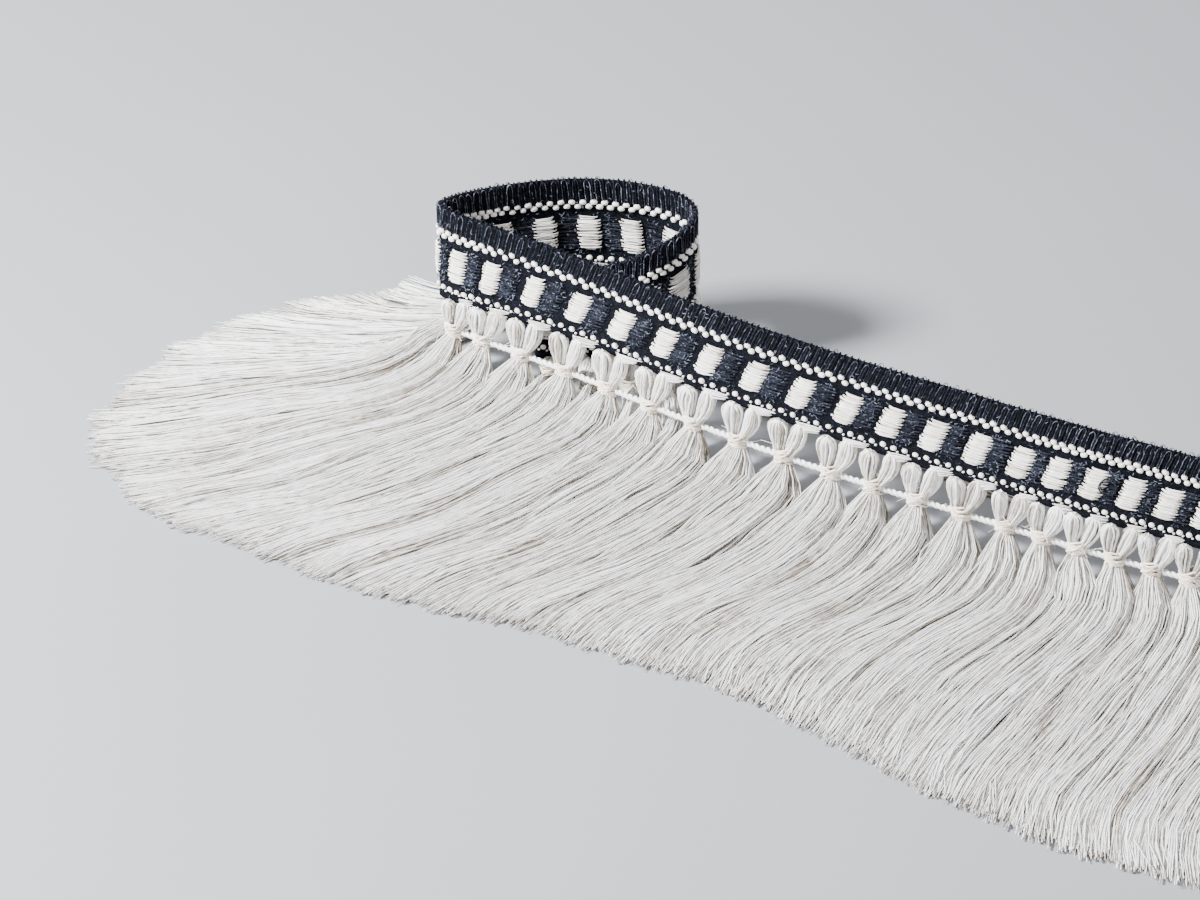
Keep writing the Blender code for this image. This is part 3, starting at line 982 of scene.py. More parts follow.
class YarnTree(PieceTree):
    """Turns polylines with a yarn_radius on each point into yarns."""

    def __init__(self) -> None:
        """Build the tree."""
        super().__init__("yarns_along_lines", {
            "Section sides": "NodeSocketInt", "Finish": "NodeSocketMaterial"})
        lines = add_node(self.tree, "GeometryNodeMeshToCurve", {"Mesh": self.enter.outputs["Geometry"]})
        section = add_node(self.tree, "GeometryNodeCurvePrimitiveCircle", {
            "Resolution": self.enter.outputs["Section sides"], "Radius": 1.0})
        radius = add_node(self.tree, "GeometryNodeInputNamedAttribute", {"Name": "yarn_radius"},
                          data_type="FLOAT")
        tube = add_node(self.tree, "GeometryNodeCurveToMesh", {
            "Curve": lines.outputs[0], "Profile Curve": section.outputs[0],
            "Scale": radius.outputs[0], "Fill Caps": True})
        self.end(tube.outputs[0])


class BeadTree(PieceTree):
    """Sets one small piece on every point, turned by an attribute and a little uneven in size."""

    def __init__(self) -> None:
        """Build the tree."""
        super().__init__("beads_on_points", {
            "Piece": "NodeSocketObject", "Unevenness": "NodeSocketFloat", "Seed": "NodeSocketInt",
            "Finish": "NodeSocketMaterial"})
        enter = self.enter.outputs
        piece = add_node(self.tree, "GeometryNodeObjectInfo", {"Object": enter["Piece"]})
        turn = add_node(self.tree, "GeometryNodeInputNamedAttribute", {"Name": "turn"},
                        data_type="FLOAT_VECTOR")
        rotation = add_node(self.tree, "FunctionNodeEulerToRotation", {0: turn.outputs[0]})
        most = add_node(self.tree, "ShaderNodeMath", {0: enter["Unevenness"], 1: 1.0}, operation="ADD")
        least = add_node(self.tree, "ShaderNodeMath", {0: 1.0, 1: enter["Unevenness"]}, operation="SUBTRACT")
        size = add_node(self.tree, "FunctionNodeRandomValue", {
            "Min": least.outputs[0], "Max": most.outputs[0], "Seed": enter["Seed"]}, data_type="FLOAT_VECTOR")
        beads = add_node(self.tree, "GeometryNodeInstanceOnPoints", {
            "Points": enter["Geometry"], "Instance": piece.outputs["Geometry"],
            "Rotation": rotation.outputs[0], "Scale": size.outputs[0]})
        self.end(beads.outputs[0])


@dataclass
class Strands:
    """Yarns as lines of points, gathered before they are made into one mesh."""

    shift: np.ndarray
    lines: list = field(default_factory=list)
    radii: list = field(default_factory=list)
    tones: list = field(default_factory=list)

    def add(self, points: np.ndarray, radius: np.ndarray, tone: np.ndarray) -> None:
        """Add yarns that have the same number of points.

        Args:
            points: plan points, as yarns by points by 3.
            radius: yarn radius, broadcast over yarns and points.
            tone: 0 dark to 1 pale, broadcast over yarns and points.
        """
        shape = points.shape[:2]
        self.lines.append(points)
        self.radii.append(np.broadcast_to(radius, shape))
        self.tones.append(np.broadcast_to(tone, shape))

    def line_mesh(self, name: str) -> bpy.types.Mesh:
        """Mesh of edges along the yarns, with their radius and tone on the points.

        Args:
            name: mesh name.

        Returns:
            The mesh.
        """
        mesh = bpy.data.meshes.new(name)
        points, edges, start = [], [], 0
        for block in self.lines:
            count, length = block.shape[:2]
            first = start + (np.arange(count)[:, None] * length + np.arange(length - 1)[None, :]).ravel()
            edges.append(np.stack([first, first + 1], -1))
            points.append(block.reshape(-1, 3))
            start += count * length
        points, edges = (np.vstack(points) + self.shift) * MM, np.vstack(edges)
        mesh.vertices.add(len(points))
        mesh.vertices.foreach_set("co", points.ravel())
        mesh.edges.add(len(edges))
        mesh.edges.foreach_set("vertices", edges.ravel())
        for attribute, blocks, scale in (("yarn_radius", self.radii, MM), ("tone", self.tones, 1.0)):
            values = np.concatenate([block.ravel() for block in blocks]) * scale
            mesh.attributes.new(attribute, "FLOAT", "POINT").data.foreach_set("value", values)
        return mesh


@dataclass
class YarnMaker:
    """Turns gathered strands and beads into finished pieces."""

    yarn: YarnTree = field(default_factory=YarnTree)
    bead: BeadTree = field(default_factory=BeadTree)

    def yarns(self, name: str, strands: Strands, sides: Sides,
              finish: bpy.types.Material) -> bpy.types.Object:
        """Make one mesh of yarns.

        Args:
            name: object name.
            strands: the yarns' lines.
            sides: section of the yarns.
            finish: material of the yarns.

        Returns:
            Object with a plain mesh.
        """
        item = new_object(name, strands.line_mesh(name))
        return self.yarn.apply(item, {"Section sides": sides.value, "Finish": finish})

    def beads(self, name: str, points: np.ndarray, turns: np.ndarray, tones: np.ndarray,
              values: dict) -> bpy.types.Object:
        """Make one mesh of beads.

        Args:
            name: object name.
            points: their places, in metres.
            turns: their Euler turns.
            tones: 0 dark to 1 pale.
            values: the bead tree's other inputs.

        Returns:
            Object with a plain mesh.
        """
        mesh = bpy.data.meshes.new(name)
        mesh.vertices.add(len(points))
        mesh.vertices.foreach_set("co", points.ravel())
        mesh.attributes.new("turn", "FLOAT_VECTOR", "POINT").data.foreach_set("vector", turns.ravel())
        mesh.attributes.new("tone", "FLOAT", "POINT").data.foreach_set("value", tones.ravel())
        return self.bead.apply(new_object(name, mesh), {"Seed": SEED, **values})


@dataclass
class HeadingPart:
    """What the parts of the heading share, among it one run of random numbers."""

    layout: FringeLayout
    maker: YarnMaker
    finishes: Finishes
    rng: np.random.Generator
    thick: float = 1.1
    end_gap: float = 0.4
    bead_gap: float = 1.0

    def __post_init__(self) -> None:
        """Keep the tape line at hand and count the repeats."""
        self.line = self.layout.line
        self.repeats = len(self.layout.repeat_feet)

    def kept(self, arc: np.ndarray, depth: np.ndarray) -> np.ndarray:
        """Which places lie on the heading, a little inside its ends."""
        return (arc > self.bead_gap) & (arc < self.line.length - self.bead_gap) & (depth < self.line.depth)

    def clip(self, arc: np.ndarray, gap: float) -> np.ndarray:
        """Distances along the heading, held inside its ends by a gap."""
        return np.clip(arc, gap, self.line.length - gap)


@dataclass
class Cloth(HeadingPart):
    """The ground cloth: a thin sheet on the tape line, with its weave map in millimetres."""

    grid_mm: float = 1.5
    swell: float = 0.18
    swell_waves: tuple = (7.3, 9.0, 31.0)

    def make(self) -> bpy.types.Object:
        """Lay a grid on the tape line and give it its thickness.

        Returns:
            The cloth.
        """
        across = round(self.line.length / self.grid_mm)
        down = round(self.line.depth / self.grid_mm)
        bpy.ops.mesh.primitive_grid_add(x_subdivisions=across, y_subdivisions=down, size=2.0)
        cloth = bpy.context.object
        cloth.name = "heading_cloth"
        flat = np.empty(len(cloth.data.vertices) * 3)
        cloth.data.vertices.foreach_get("co", flat)
        flat = flat.reshape(-1, 3)
        arc = (flat[:, 0] + 1.0) / 2.0 * self.line.length
        depth = (1.0 - flat[:, 1]) / 2.0 * self.line.depth
        along, down, slant = self.swell_waves
        swell = self.swell * np.sin(arc / along) * np.sin(depth / down + arc / slant)
        points = (self.line.place(arc, depth, swell) + self.line.shift) * MM
        cloth.data.vertices.foreach_set("co", points.ravel())
        chart = cloth.data.uv_layers.active or cloth.data.uv_layers.new(name=WEAVE_MAP)
        chart.name = WEAVE_MAP
        corners = np.empty(len(cloth.data.loops), int)
        cloth.data.loops.foreach_get("vertex_index", corners)
        chart.data.foreach_set("uv", np.stack([arc[corners], depth[corners]], -1).ravel())
        solidify = cloth.modifiers.new("thickness", "SOLIDIFY")
        solidify.thickness = self.thick * MM
        solidify.offset = 0.0
        cloth.data.materials.append(self.finishes.cloth)
        cloth.data.shade_smooth()
        return plain_object(cloth)


@dataclass
class Border(HeadingPart):
    """The ribbed border: dark cords over the top edge, with a pale hairpin round every other one.

    The routes run up one face, over the edge and down the other. Lifts are shares of the cords'
    distance from the middle surface, and sides are shares of the hairpin's half width.
    """

    gap: float = 1.8
    stray: float = 0.06
    clear: float = 0.1
    edge_depth: float = 1.0
    cord_depths: tuple = (9.1, 6.0, 3.0, 0.9, -0.1, -0.45, -0.1, 0.9, 3.0, 6.0, 9.1)
    cord_lifts: tuple = (-1.0, -1.0, -1.0, -1.0, -0.75, 0.0, 0.75, 1.0, 1.0, 1.0, 1.0)
    cord_sink: float = 0.9
    cord_rise: tuple = (-0.35, 0.3)
    cord_radius: tuple = (0.55, 0.7)
    cord_tone: tuple = (0.0, 0.2)
    hairpins_per_repeat: int = 4
    pin_half: float = 1.15
    pin_depths: tuple = (8.9, 7.4, 5.8, 4.2, 2.6, 0.9, 0.0, -0.55, 0.0, 0.9, 2.6, 4.2, 5.8, 7.4, 8.9)
    pin_sides: tuple = (-1.0, -1.0, -1.0, -1.0, -1.0, -0.9, -0.6, 0.0, 0.6, 0.9, 1.0, 1.0, 1.0, 1.0, 1.0)
    pin_rise: tuple = (-0.6, 0.7)
    pin_wobble: float = 0.13
    pin_lean: float = 0.2
    lean_depth: float = 4.0
    pin_lift: float = 0.55
    bend_lift: float = 0.1
    bend_side: float = 0.7
    pin_radius: float = 0.17
    pin_tone: tuple = (0.38, 0.66)
    tone_jitter: float = 0.3

    def make(self) -> bpy.types.Object:
        """Set the cords, then the hairpins on both faces.

        Returns:
            The border as one piece.
        """
        total = self.repeats * self.hairpins_per_repeat
        count = (np.arange(total) + around(self.rng, self.stray, total)) / self.hairpins_per_repeat
        arc = self.layout.repeat_arc(count)
        arc = arc[(arc > self.gap) & (arc < self.line.length - self.gap)]
        cords = np.sort(np.concatenate([arc, (arc[1:] + arc[:-1]) / 2.0]))[:, None]
        arc = arc[:, None]
        off = self.thick / 2.0 + self.clear
        strands = Strands(self.line.shift)
        depth, lift = np.array(self.cord_depths), off * np.array(self.cord_lifts) * self.cord_sink
        rise = self.rng.uniform(*self.cord_rise, cords.shape) * (depth < self.edge_depth)
        strands.add(self.line.place(cords, depth + rise, lift),
                    self.rng.uniform(*self.cord_radius, cords.shape),
                    self.rng.uniform(*self.cord_tone, cords.shape))
        depth, side = np.array(self.pin_depths), np.array(self.pin_sides)
        rise = self.rng.uniform(*self.pin_rise, arc.shape) * (depth < self.edge_depth)
        for face in Face:
            wobble = around(self.rng, self.pin_wobble, (len(arc), len(depth)))
            lean = around(self.rng, self.pin_lean, arc.shape) * depth / self.lean_depth
            lift = face.value * (off + self.pin_lift + self.bend_lift * (np.abs(side) < self.bend_side))
            tone = self.rng.uniform(*self.pin_tone, arc.shape)
            tone = tone + around(self.rng, self.tone_jitter, wobble.shape)
            strands.add(self.line.place(arc + side * self.pin_half + wobble + lean, depth + rise, lift),
                        self.pin_radius, tone)
        return self.maker.yarns("heading_border_ribs", strands, Sides.LOOSE, self.finishes.navy)


@dataclass
class Beads(HeadingPart):
    """Rows of ivory beads on both faces: small ovals with fuller corners, a few dozen faces each."""

    per_repeat: int = 4
    fullness: float = 0.8
    stray: float = 0.2
    seat: float = 0.25
    roll: float = 0.3
    tone: tuple = (0.5, 1.0)
    uneven: float = 0.1

    def piece(self, row: BeadRow) -> bpy.types.Object:
        """One bead, seen only through its copies.

        Args:
            row: the row that it is for.

        Returns:
            The bead at the origin.
        """
        mesh = bpy.data.meshes.new("bead")
        work = bmesh.new()
        bmesh.ops.create_uvsphere(work, u_segments=row.segments, v_segments=row.rings, radius=1.0)
        for vertex in work.verts:
            vertex.co = [math.copysign(abs(value) ** self.fullness, value) for value in vertex.co]
        bmesh.ops.scale(work, vec=Vector(row.half) * MM, verts=work.verts)
        work.to_mesh(mesh)
        work.free()
        return new_object("bead", mesh)

    def make_row(self, row: BeadRow) -> bpy.types.Object:
        """Set one row.

        Args:
            row: its place and its beads.

        Returns:
            The row as one object.
        """
        arc = self.layout.repeat_arc(np.arange(self.repeats * self.per_repeat) / self.per_repeat + row.place)
        depths = row.depth + around(self.rng, self.stray, len(arc))
        inside = self.kept(arc, depths)
        arc, depths = arc[inside], depths[inside]
        along, _ = self.line.ways(arc - depths * np.sin(np.radians(self.line.at(arc)[:, 3])))
        points, turns = [], []
        for face in Face:
            lift = face.value * (self.thick / 2.0 + self.seat)
            points.append((self.line.place(arc, depths, lift) + self.line.shift) * MM)
            way = along * -face.value
            heading = np.arctan2(way[:, 1], way[:, 0])
            roll = around(self.rng, self.roll, len(arc))
            turns.append(np.stack([np.full(len(arc), math.pi / 2.0), roll, heading], -1))
        piece = self.piece(row)
        tones = self.rng.uniform(*self.tone, 2 * len(arc))
        beads = self.maker.beads(row.name, np.vstack(points), np.vstack(turns), tones, {
            "Piece": piece, "Unevenness": self.uneven, "Finish": self.finishes.satin})
        bpy.data.objects.remove(piece, do_unlink=True)
        return beads

    def make(self, name: str, rows: tuple) -> bpy.types.Object:
        """Make rows of beads that lie together as one piece."""
        return join_pieces(name, [self.make_row(row) for row in rows])


@dataclass
class Blocks(HeadingPart):
    """Blocks of floats side by side, one in each repeat on each face, with unevenly bound ends."""

    depths: tuple = (16.2, 30.4)
    shares: tuple = (-1.0, -0.9, -0.55, 0.55, 0.9, 1.0)
    rises: tuple = (-0.2, 0.6, 1.0, 1.0, 0.6, -0.2)
    round_from: float = 0.72
    round_by: float = 0.28
    end_stray: float = 0.45
    row_stray: float = 0.18
    slant: float = 0.2
    sink: float = 0.3
    clear: float = 0.15
    loose: float = 0.3
    tone: tuple = (0.15, 1.0)
    # Painted shade on the ends of the floats, where they bend down into the cloth.
    end_shade: float = 0.2
    shaded_rise: float = 0.7
    radius: float = 0.37

    def add(self, strands: Strands, row: BlockRow, centre: float, face: Face) -> None:
        """Add one block.

        Args:
            strands: takes the floats.
            row: the kind of block.
            centre: where the block lies along the top edge.
            face: the face that it lies on.
        """
        total, rng = row.floats, self.rng
        share, rise = np.array(self.shares), np.array(self.rises)
        rows = np.abs(np.linspace(-1.0, 1.0, total))
        corner = np.clip((rows - self.round_from) / self.round_by, 0.0, 1.0)
        half = row.half * (1.0 - self.round_by * corner**2)
        step = 0.5 * row.jag * np.where(np.arange(total) % 2 == 0, 1.0, -1.0)
        left = centre - half - step + around(rng, self.end_stray, total)
        right = centre + half + step + around(rng, self.end_stray, total)
        arc = (left + right)[:, None] / 2.0 + (right - left)[:, None] / 2.0 * share
        down = np.linspace(*self.depths, total)[:, None] + around(rng, self.row_stray, (total, 1))
        down = down + self.slant * share * around(rng, 1.0, (total, 1))
        swell = row.height * rise * (1.0 - self.sink * rows[:, None] ** 4)
        lift = self.thick / 2.0 + self.clear + swell + rng.uniform(0.0, self.loose, (total, 1))
        # Painted shade at the float ends, where they dip into the cloth.
        tone = rng.uniform(*self.tone, (total, 1)) - self.end_shade * (rise < self.shaded_rise)
        strands.add(self.line.place(self.clip(arc, self.end_gap), down, face.value * lift), self.radius,
                    tone * row.palest)

    def make(self, row: BlockRow, finish: bpy.types.Material) -> bpy.types.Object:
        """Make all the blocks of one kind.

        Args:
            row: the kind of block.
            finish: material of the floats.

        Returns:
            The blocks as one piece.
        """
        strands = Strands(self.line.shift)
        for centre in self.layout.repeat_arc(np.arange(self.repeats) + row.place):
            if 0.0 < centre < self.line.length:
                for face in Face:
                    self.add(strands, row, centre, face)
        return self.maker.yarns(row.name, strands, Sides.LOOSE, finish)


@dataclass
class Fuzz(HeadingPart):
    """Short hairs and loops of the navy weft, thickest on the blocks between the ivory floats."""

    hairs: int = 6800
    places: tuple = (-0.22, 0.24)
    depths: tuple = (14.6, 33.2)
    loose_share: float = 0.34
    loose_depths: tuple = (0.4, 38.5)
    length: tuple = (0.6, 1.7)
    steps: tuple = (-0.5, 0.05, 0.5)
    curls: tuple = (0.3, 1.0, 0.2)
    height: tuple = (0.3, 0.7)
    clear: float = 0.3
    reach: tuple = (0.3, 39.6)
    radius: float = 0.13
    tone: tuple = (0.3, 1.1)

    def make(self) -> bpy.types.Object:
        """Scatter the hairs over both faces.

        Returns:
            The fuzz as one piece.
        """
        rng, total = self.rng, self.hairs
        count = rng.integers(0, self.repeats, total) + HEATHER_BLOCK.place + rng.uniform(*self.places, total)
        depth = rng.uniform(*self.depths, total)
        loose = rng.uniform(size=total) < self.loose_share
        count = np.where(loose, rng.uniform(0, self.repeats, total), count)
        depth = np.where(loose, rng.uniform(*self.loose_depths, total), depth)
        arc = self.layout.repeat_arc(count)
        inside = self.kept(arc, depth)
        arc, depth = arc[inside][:, None], depth[inside][:, None]
        side = np.where(rng.uniform(size=arc.shape) < 0.5, Face.OUTER.value, Face.INNER.value)
        angle = rng.uniform(0.0, TURN, arc.shape)
        length = rng.uniform(*self.length, arc.shape)
        height = rng.uniform(*self.height, arc.shape)
        step = np.array(self.steps)
        along = arc + np.cos(angle) * length * step
        down = np.clip(depth + np.sin(angle) * length * step, *self.reach)
        lift = side * (self.thick / 2.0 + self.clear + height * np.array(self.curls))
        strands = Strands(self.line.shift)
        strands.add(self.line.place(along, down, lift), self.radius, rng.uniform(*self.tone, arc.shape))
        return self.maker.yarns("heading_navy_fuzz", strands, Sides.LOOSE, self.finishes.navy)


@dataclass
class LooseEnds(HeadingPart):
    """Loose ends of weft at the two cut ends of the tape, and one snagged loop on its outer face."""

    frays: int = 34
    fray_points: int = 6
    depths: tuple = (1.5, 38.5)
    stray: float = 0.4
    length: tuple = (0.8, 3.6)
    bend: float = 0.9
    radius: float = 0.2
    tone: tuple = (0.2, 0.8)
    snag_place: float = 29.42
    snag_depth: float = 22.0
    snag_points: int = 48
    snag_turns: float = 3.1
    snag_widths: tuple = (3.7, 1.3)
    snag_ripple: tuple = (0.25, 3.3)
    snag_oval: float = 1.1
    snag_lift: tuple = (-2.3, 0.5, 2.3)
    snag_radius: float = 0.24
    snag_tone: float = 0.3

    def add_snag(self, strands: Strands) -> None:
        """Add the snagged loop, a coil that tightens and ripples.

        Args:
            strands: takes the loop.
        """
        curl = np.linspace(0.0, 1.0, self.snag_points)
        turn = TURN * self.snag_turns * curl
        wide = self.snag_widths[0] - self.snag_widths[1] * curl
        wide = wide + self.snag_ripple[0] * np.sin(self.snag_ripple[1] * turn)
        off, swing, rate = self.snag_lift
        points = self.line.place(self.layout.repeat_arc(self.snag_place) + wide * np.cos(turn),
                                 self.snag_depth + self.snag_oval * wide * np.sin(turn),
                                 off - swing * np.sin(rate * turn))
        strands.add(points[None], self.snag_radius, self.snag_tone)

    def make(self) -> bpy.types.Object:
        """Fray both ends and add the snag.

        Returns:
            The loose ends as one piece.
        """
        strands = Strands(self.line.shift)
        step = np.linspace(0.0, 1.0, self.fray_points)
        shape = (self.frays, 1)
        for end, way in ((self.end_gap, -1.0), (self.line.length - self.end_gap, 1.0)):
            depth = np.linspace(*self.depths, self.frays)[:, None] + around(self.rng, self.stray, shape)
            length = self.rng.uniform(*self.length, shape)
            bend = self.rng.normal(0.0, self.bend, (2, *shape)) * step**2
            strands.add(self.line.place(end + way * length * step, depth + bend[0], bend[1]), self.radius,
                        self.rng.uniform(*self.tone, shape))
        self.add_snag(strands)
        return self.maker.yarns("heading_loose_ends", strands, Sides.LOOSE, self.finishes.navy)


@dataclass
class RootYarns(HeadingPart):
    """Ivory yarns that turn over each right lobe and run beside the lower edge into the cloth.

    They lie in a fan: a pair of numbers gives a size at its first yarn and its change to the last.
    """

    yarns: int = 7
    steps: tuple = (0.0, 0.16, 0.4, 0.68, 0.88, 1.0)
    rises: tuple = (-1.0, 0.9, 1.1, 0.85, 0.5, -0.3)
    first: tuple = (4.4, 1.6)
    first_stray: float = 0.4
    last: tuple = (0.78, -0.1)
    last_beyond: float = 0.5
    last_stray: float = 1.3
    depth: tuple = (36.5, 3.6)
    depth_end: tuple = (0.8, -1.4)
    depth_start: float = 1.6
    waver: float = 0.12
    lift_stray: float = 0.2
    foot_gap: float = 1.0
    radius: float = 0.28
    taper: float = 0.08
    tone: tuple = (0.2, 1.0)

    def make(self, plans: list) -> bpy.types.Object:
        """Lay the fan of yarns over every tassel, on both faces.

        Args:
            plans: where the tassels stand.

        Returns:
            The yarns as one piece.
        """
        strands = Strands(self.line.shift)
        step, rise = np.array(self.steps), np.array(self.rises)
        order = np.linspace(0.0, 1.0, self.yarns)[:, None]
        start, place, depth, depth_end = (size[0] + size[1] * order for size in (
            self.first, self.last, self.depth, self.depth_end))
        for plan in plans:
            for face in Face:
                jitter = around(self.rng, 1.0, (4, self.yarns, 1))
                first = plan.foot + plan.squeeze * (start + self.first_stray * jitter[0])
                last = plan.foot + place * plan.pitch + self.last_beyond + self.last_stray * jitter[1]
                down = depth + depth_end * step**2 + self.depth_start * (1.0 - step) ** 3
                down = down + self.waver * jitter[2] * np.sin(math.pi * step)
                lift = face.value * (self.thick / 2.0 + rise + self.lift_stray * jitter[3])
                foot = self.clip(first + (last - first) * step, self.foot_gap)
                arc = self.clip(foot + down * np.sin(np.radians(self.line.at(foot)[..., 3])), self.end_gap)
                strands.add(self.line.place(arc, down, lift), self.radius - self.taper * step**3,
                            self.rng.uniform(*self.tone, (self.yarns, 1)))
        return self.maker.yarns("heading_root_yarns", strands, Sides.LOOSE, self.finishes.ivory)


@dataclass
class Heading:
    """The woven heading: ground cloth, border, beads, blocks of floats, fuzz and loose yarns."""

    layout: FringeLayout
    maker: YarnMaker
    finishes: Finishes

    def build(self, plans: list) -> None:
        """Make every piece of the heading and tie it to the frame.

        Args:
            plans: where the tassels stand that hang from it.
        """
        shared = (self.layout, self.maker, self.finishes, np.random.default_rng(SEED))
        beads, blocks, line = Beads(*shared), Blocks(*shared), self.layout.line
        cloth = Cloth(*shared).make()
        navy = [Border(*shared).make(), blocks.make(HEATHER_BLOCK, self.finishes.navy),
                Fuzz(*shared).make(), LooseEnds(*shared).make()]
        ivory = [beads.make("heading_zigzag_beads", ZIGZAG_ROWS),
                 beads.make("heading_lower_beads", LOWER_ROWS),
                 blocks.make(SATIN_BLOCK, self.finishes.satin), RootYarns(*shared).make(plans)]
        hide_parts("heading")
        for piece in [cloth, *navy]:
            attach(piece, "root")
        for piece in ivory:
            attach(piece, "root")
        [plan.node for plan in plans]
        for piece in [cloth, *navy, *ivory]:
            LOG.info("%s: %d faces", piece.name, len(piece.data.polygons))


@dataclass
class TasselPart:
    """What the parts of one tassel share, among it one run of random numbers."""

    line: TapeLine
    plan: TasselPlan
    rng: np.random.Generator


@dataclass
class Lobes(TasselPart):
    """The two lobes of the head: yarns that leave the heading's edge, swell and close in the knot."""

    shares: tuple = (0.0, 0.12, 0.28, 0.45, 0.6, 0.75, 0.88, 0.96, 1.0)
    # The outer ring of yarns and a core that fills it: share of the lobe's width, yarns and radius.
    rings: tuple = ((1.0, 22, 0.45), (0.4, 4, 1.1))
    # How much a lobe's top may slide and sink, its width change and its middle lean.
    variety: tuple = (0.5, 0.3, 0.08, 0.4)
    neck_rise: float = 0.8
    usual_pitch: float = 20.0
    flat_share: float = 0.35
    seat_stray: float = 0.25
    twist: float = 0.35
    twist_stray: float = 0.17
    layer: tuple = (0.86, 1.06)
    unevenness: float = 0.09
    tone: tuple = (0.02, 1.0)
    # Painted shade on the yarns at the neck, where the lobes close into the knot.
    neck_shade: float = 0.3
    neck_share: float = 0.2
    radius_change: tuple = (0.85, 1.1)

    def add(self, strands: Strands) -> None:
        """Add both lobes.

        Args:
            strands: takes the yarns.
        """
        plan, rng, share = self.plan, self.rng, np.array(self.shares)
        for row in LOBES:
            slide, sink, widen, lean = np.array(self.variety) * rng.uniform(-1.0, 1.0, 4)
            foot = plan.foot + (row.top + slide) * plan.squeeze
            top = self.line.place(self.line.column(np.array([foot])), row.depth + sink, row.forward)[0]
            along, inward = self.line.level_ways(foot)
            neck = plan.knot + along * row.neck * plan.squeeze + np.array([0.0, 0.0, self.neck_rise])
            half = (row.half + row.grow * (plan.pitch - self.usual_pitch)) * (1.0 + widen)
            wide = np.array(row.swell) * half * plan.squeeze
            deep = (self.flat_share + (1.0 - self.flat_share) * np.array(row.swell)) * row.deep
            deep[-1] = row.swell[-1] * row.deep
            spine = neck + (top - neck) * share[:, None]
            spine = spine + along * ((row.bulge + lean) * np.sin(math.pi * share))[:, None]
            for ring, count, radius in self.rings:
                angle = (np.arange(count) + around(rng, self.seat_stray, count)) / count * TURN
                turn = angle[:, None] + self.twist * share + around(rng, self.twist_stray, (count, 1))
                layer = ring * rng.uniform(*self.layer, (count, 1))
                across, off = np.cos(turn) * wide * layer, np.sin(turn) * deep * layer
                points = spine + across[..., None] * along + off[..., None] * inward
                points += rng.normal(0.0, self.unevenness, points.shape)
                # Painted shade darkens the yarns near the neck.
                tone = rng.uniform(*self.tone, (count, 1)) - self.neck_shade * (share < self.neck_share)
                strands.add(points, radius * rng.uniform(*self.radius_change, (count, 1)), tone)


@dataclass
class LinkCord(TasselPart):
    """The two-ply cord from the knot to the next one."""

    radius: float = 0.78
    lay: float = 5.0
    sag: float = 0.6
    closeness: float = 0.75
    points: int = 40
    tone: float = 0.9

    def add(self, strands: Strands) -> None:
        """Add the cord, where the plan has a next knot.

        Args:
            strands: takes the two plies.
        """
        if self.plan.next_knot is None:
            return
        span = self.plan.next_knot - self.plan.knot
        reach = np.linalg.norm(span)
        share = np.linspace(0.0, 1.0, self.points)
        spine = self.plan.knot + span * share[:, None]
        spine[:, 2] -= self.sag * np.sin(math.pi * share)
        across = np.array([-span[1] / reach, span[0] / reach, 0.0])
        up = np.array([0.0, 0.0, 1.0])
        turn = TURN * share * reach / self.lay
        for start in (0.0, math.pi):
            ring = np.cos(turn + start)[:, None] * across + np.sin(turn + start)[:, None] * up
            strands.add((spine + ring * self.radius * self.closeness)[None], self.radius, self.tone)


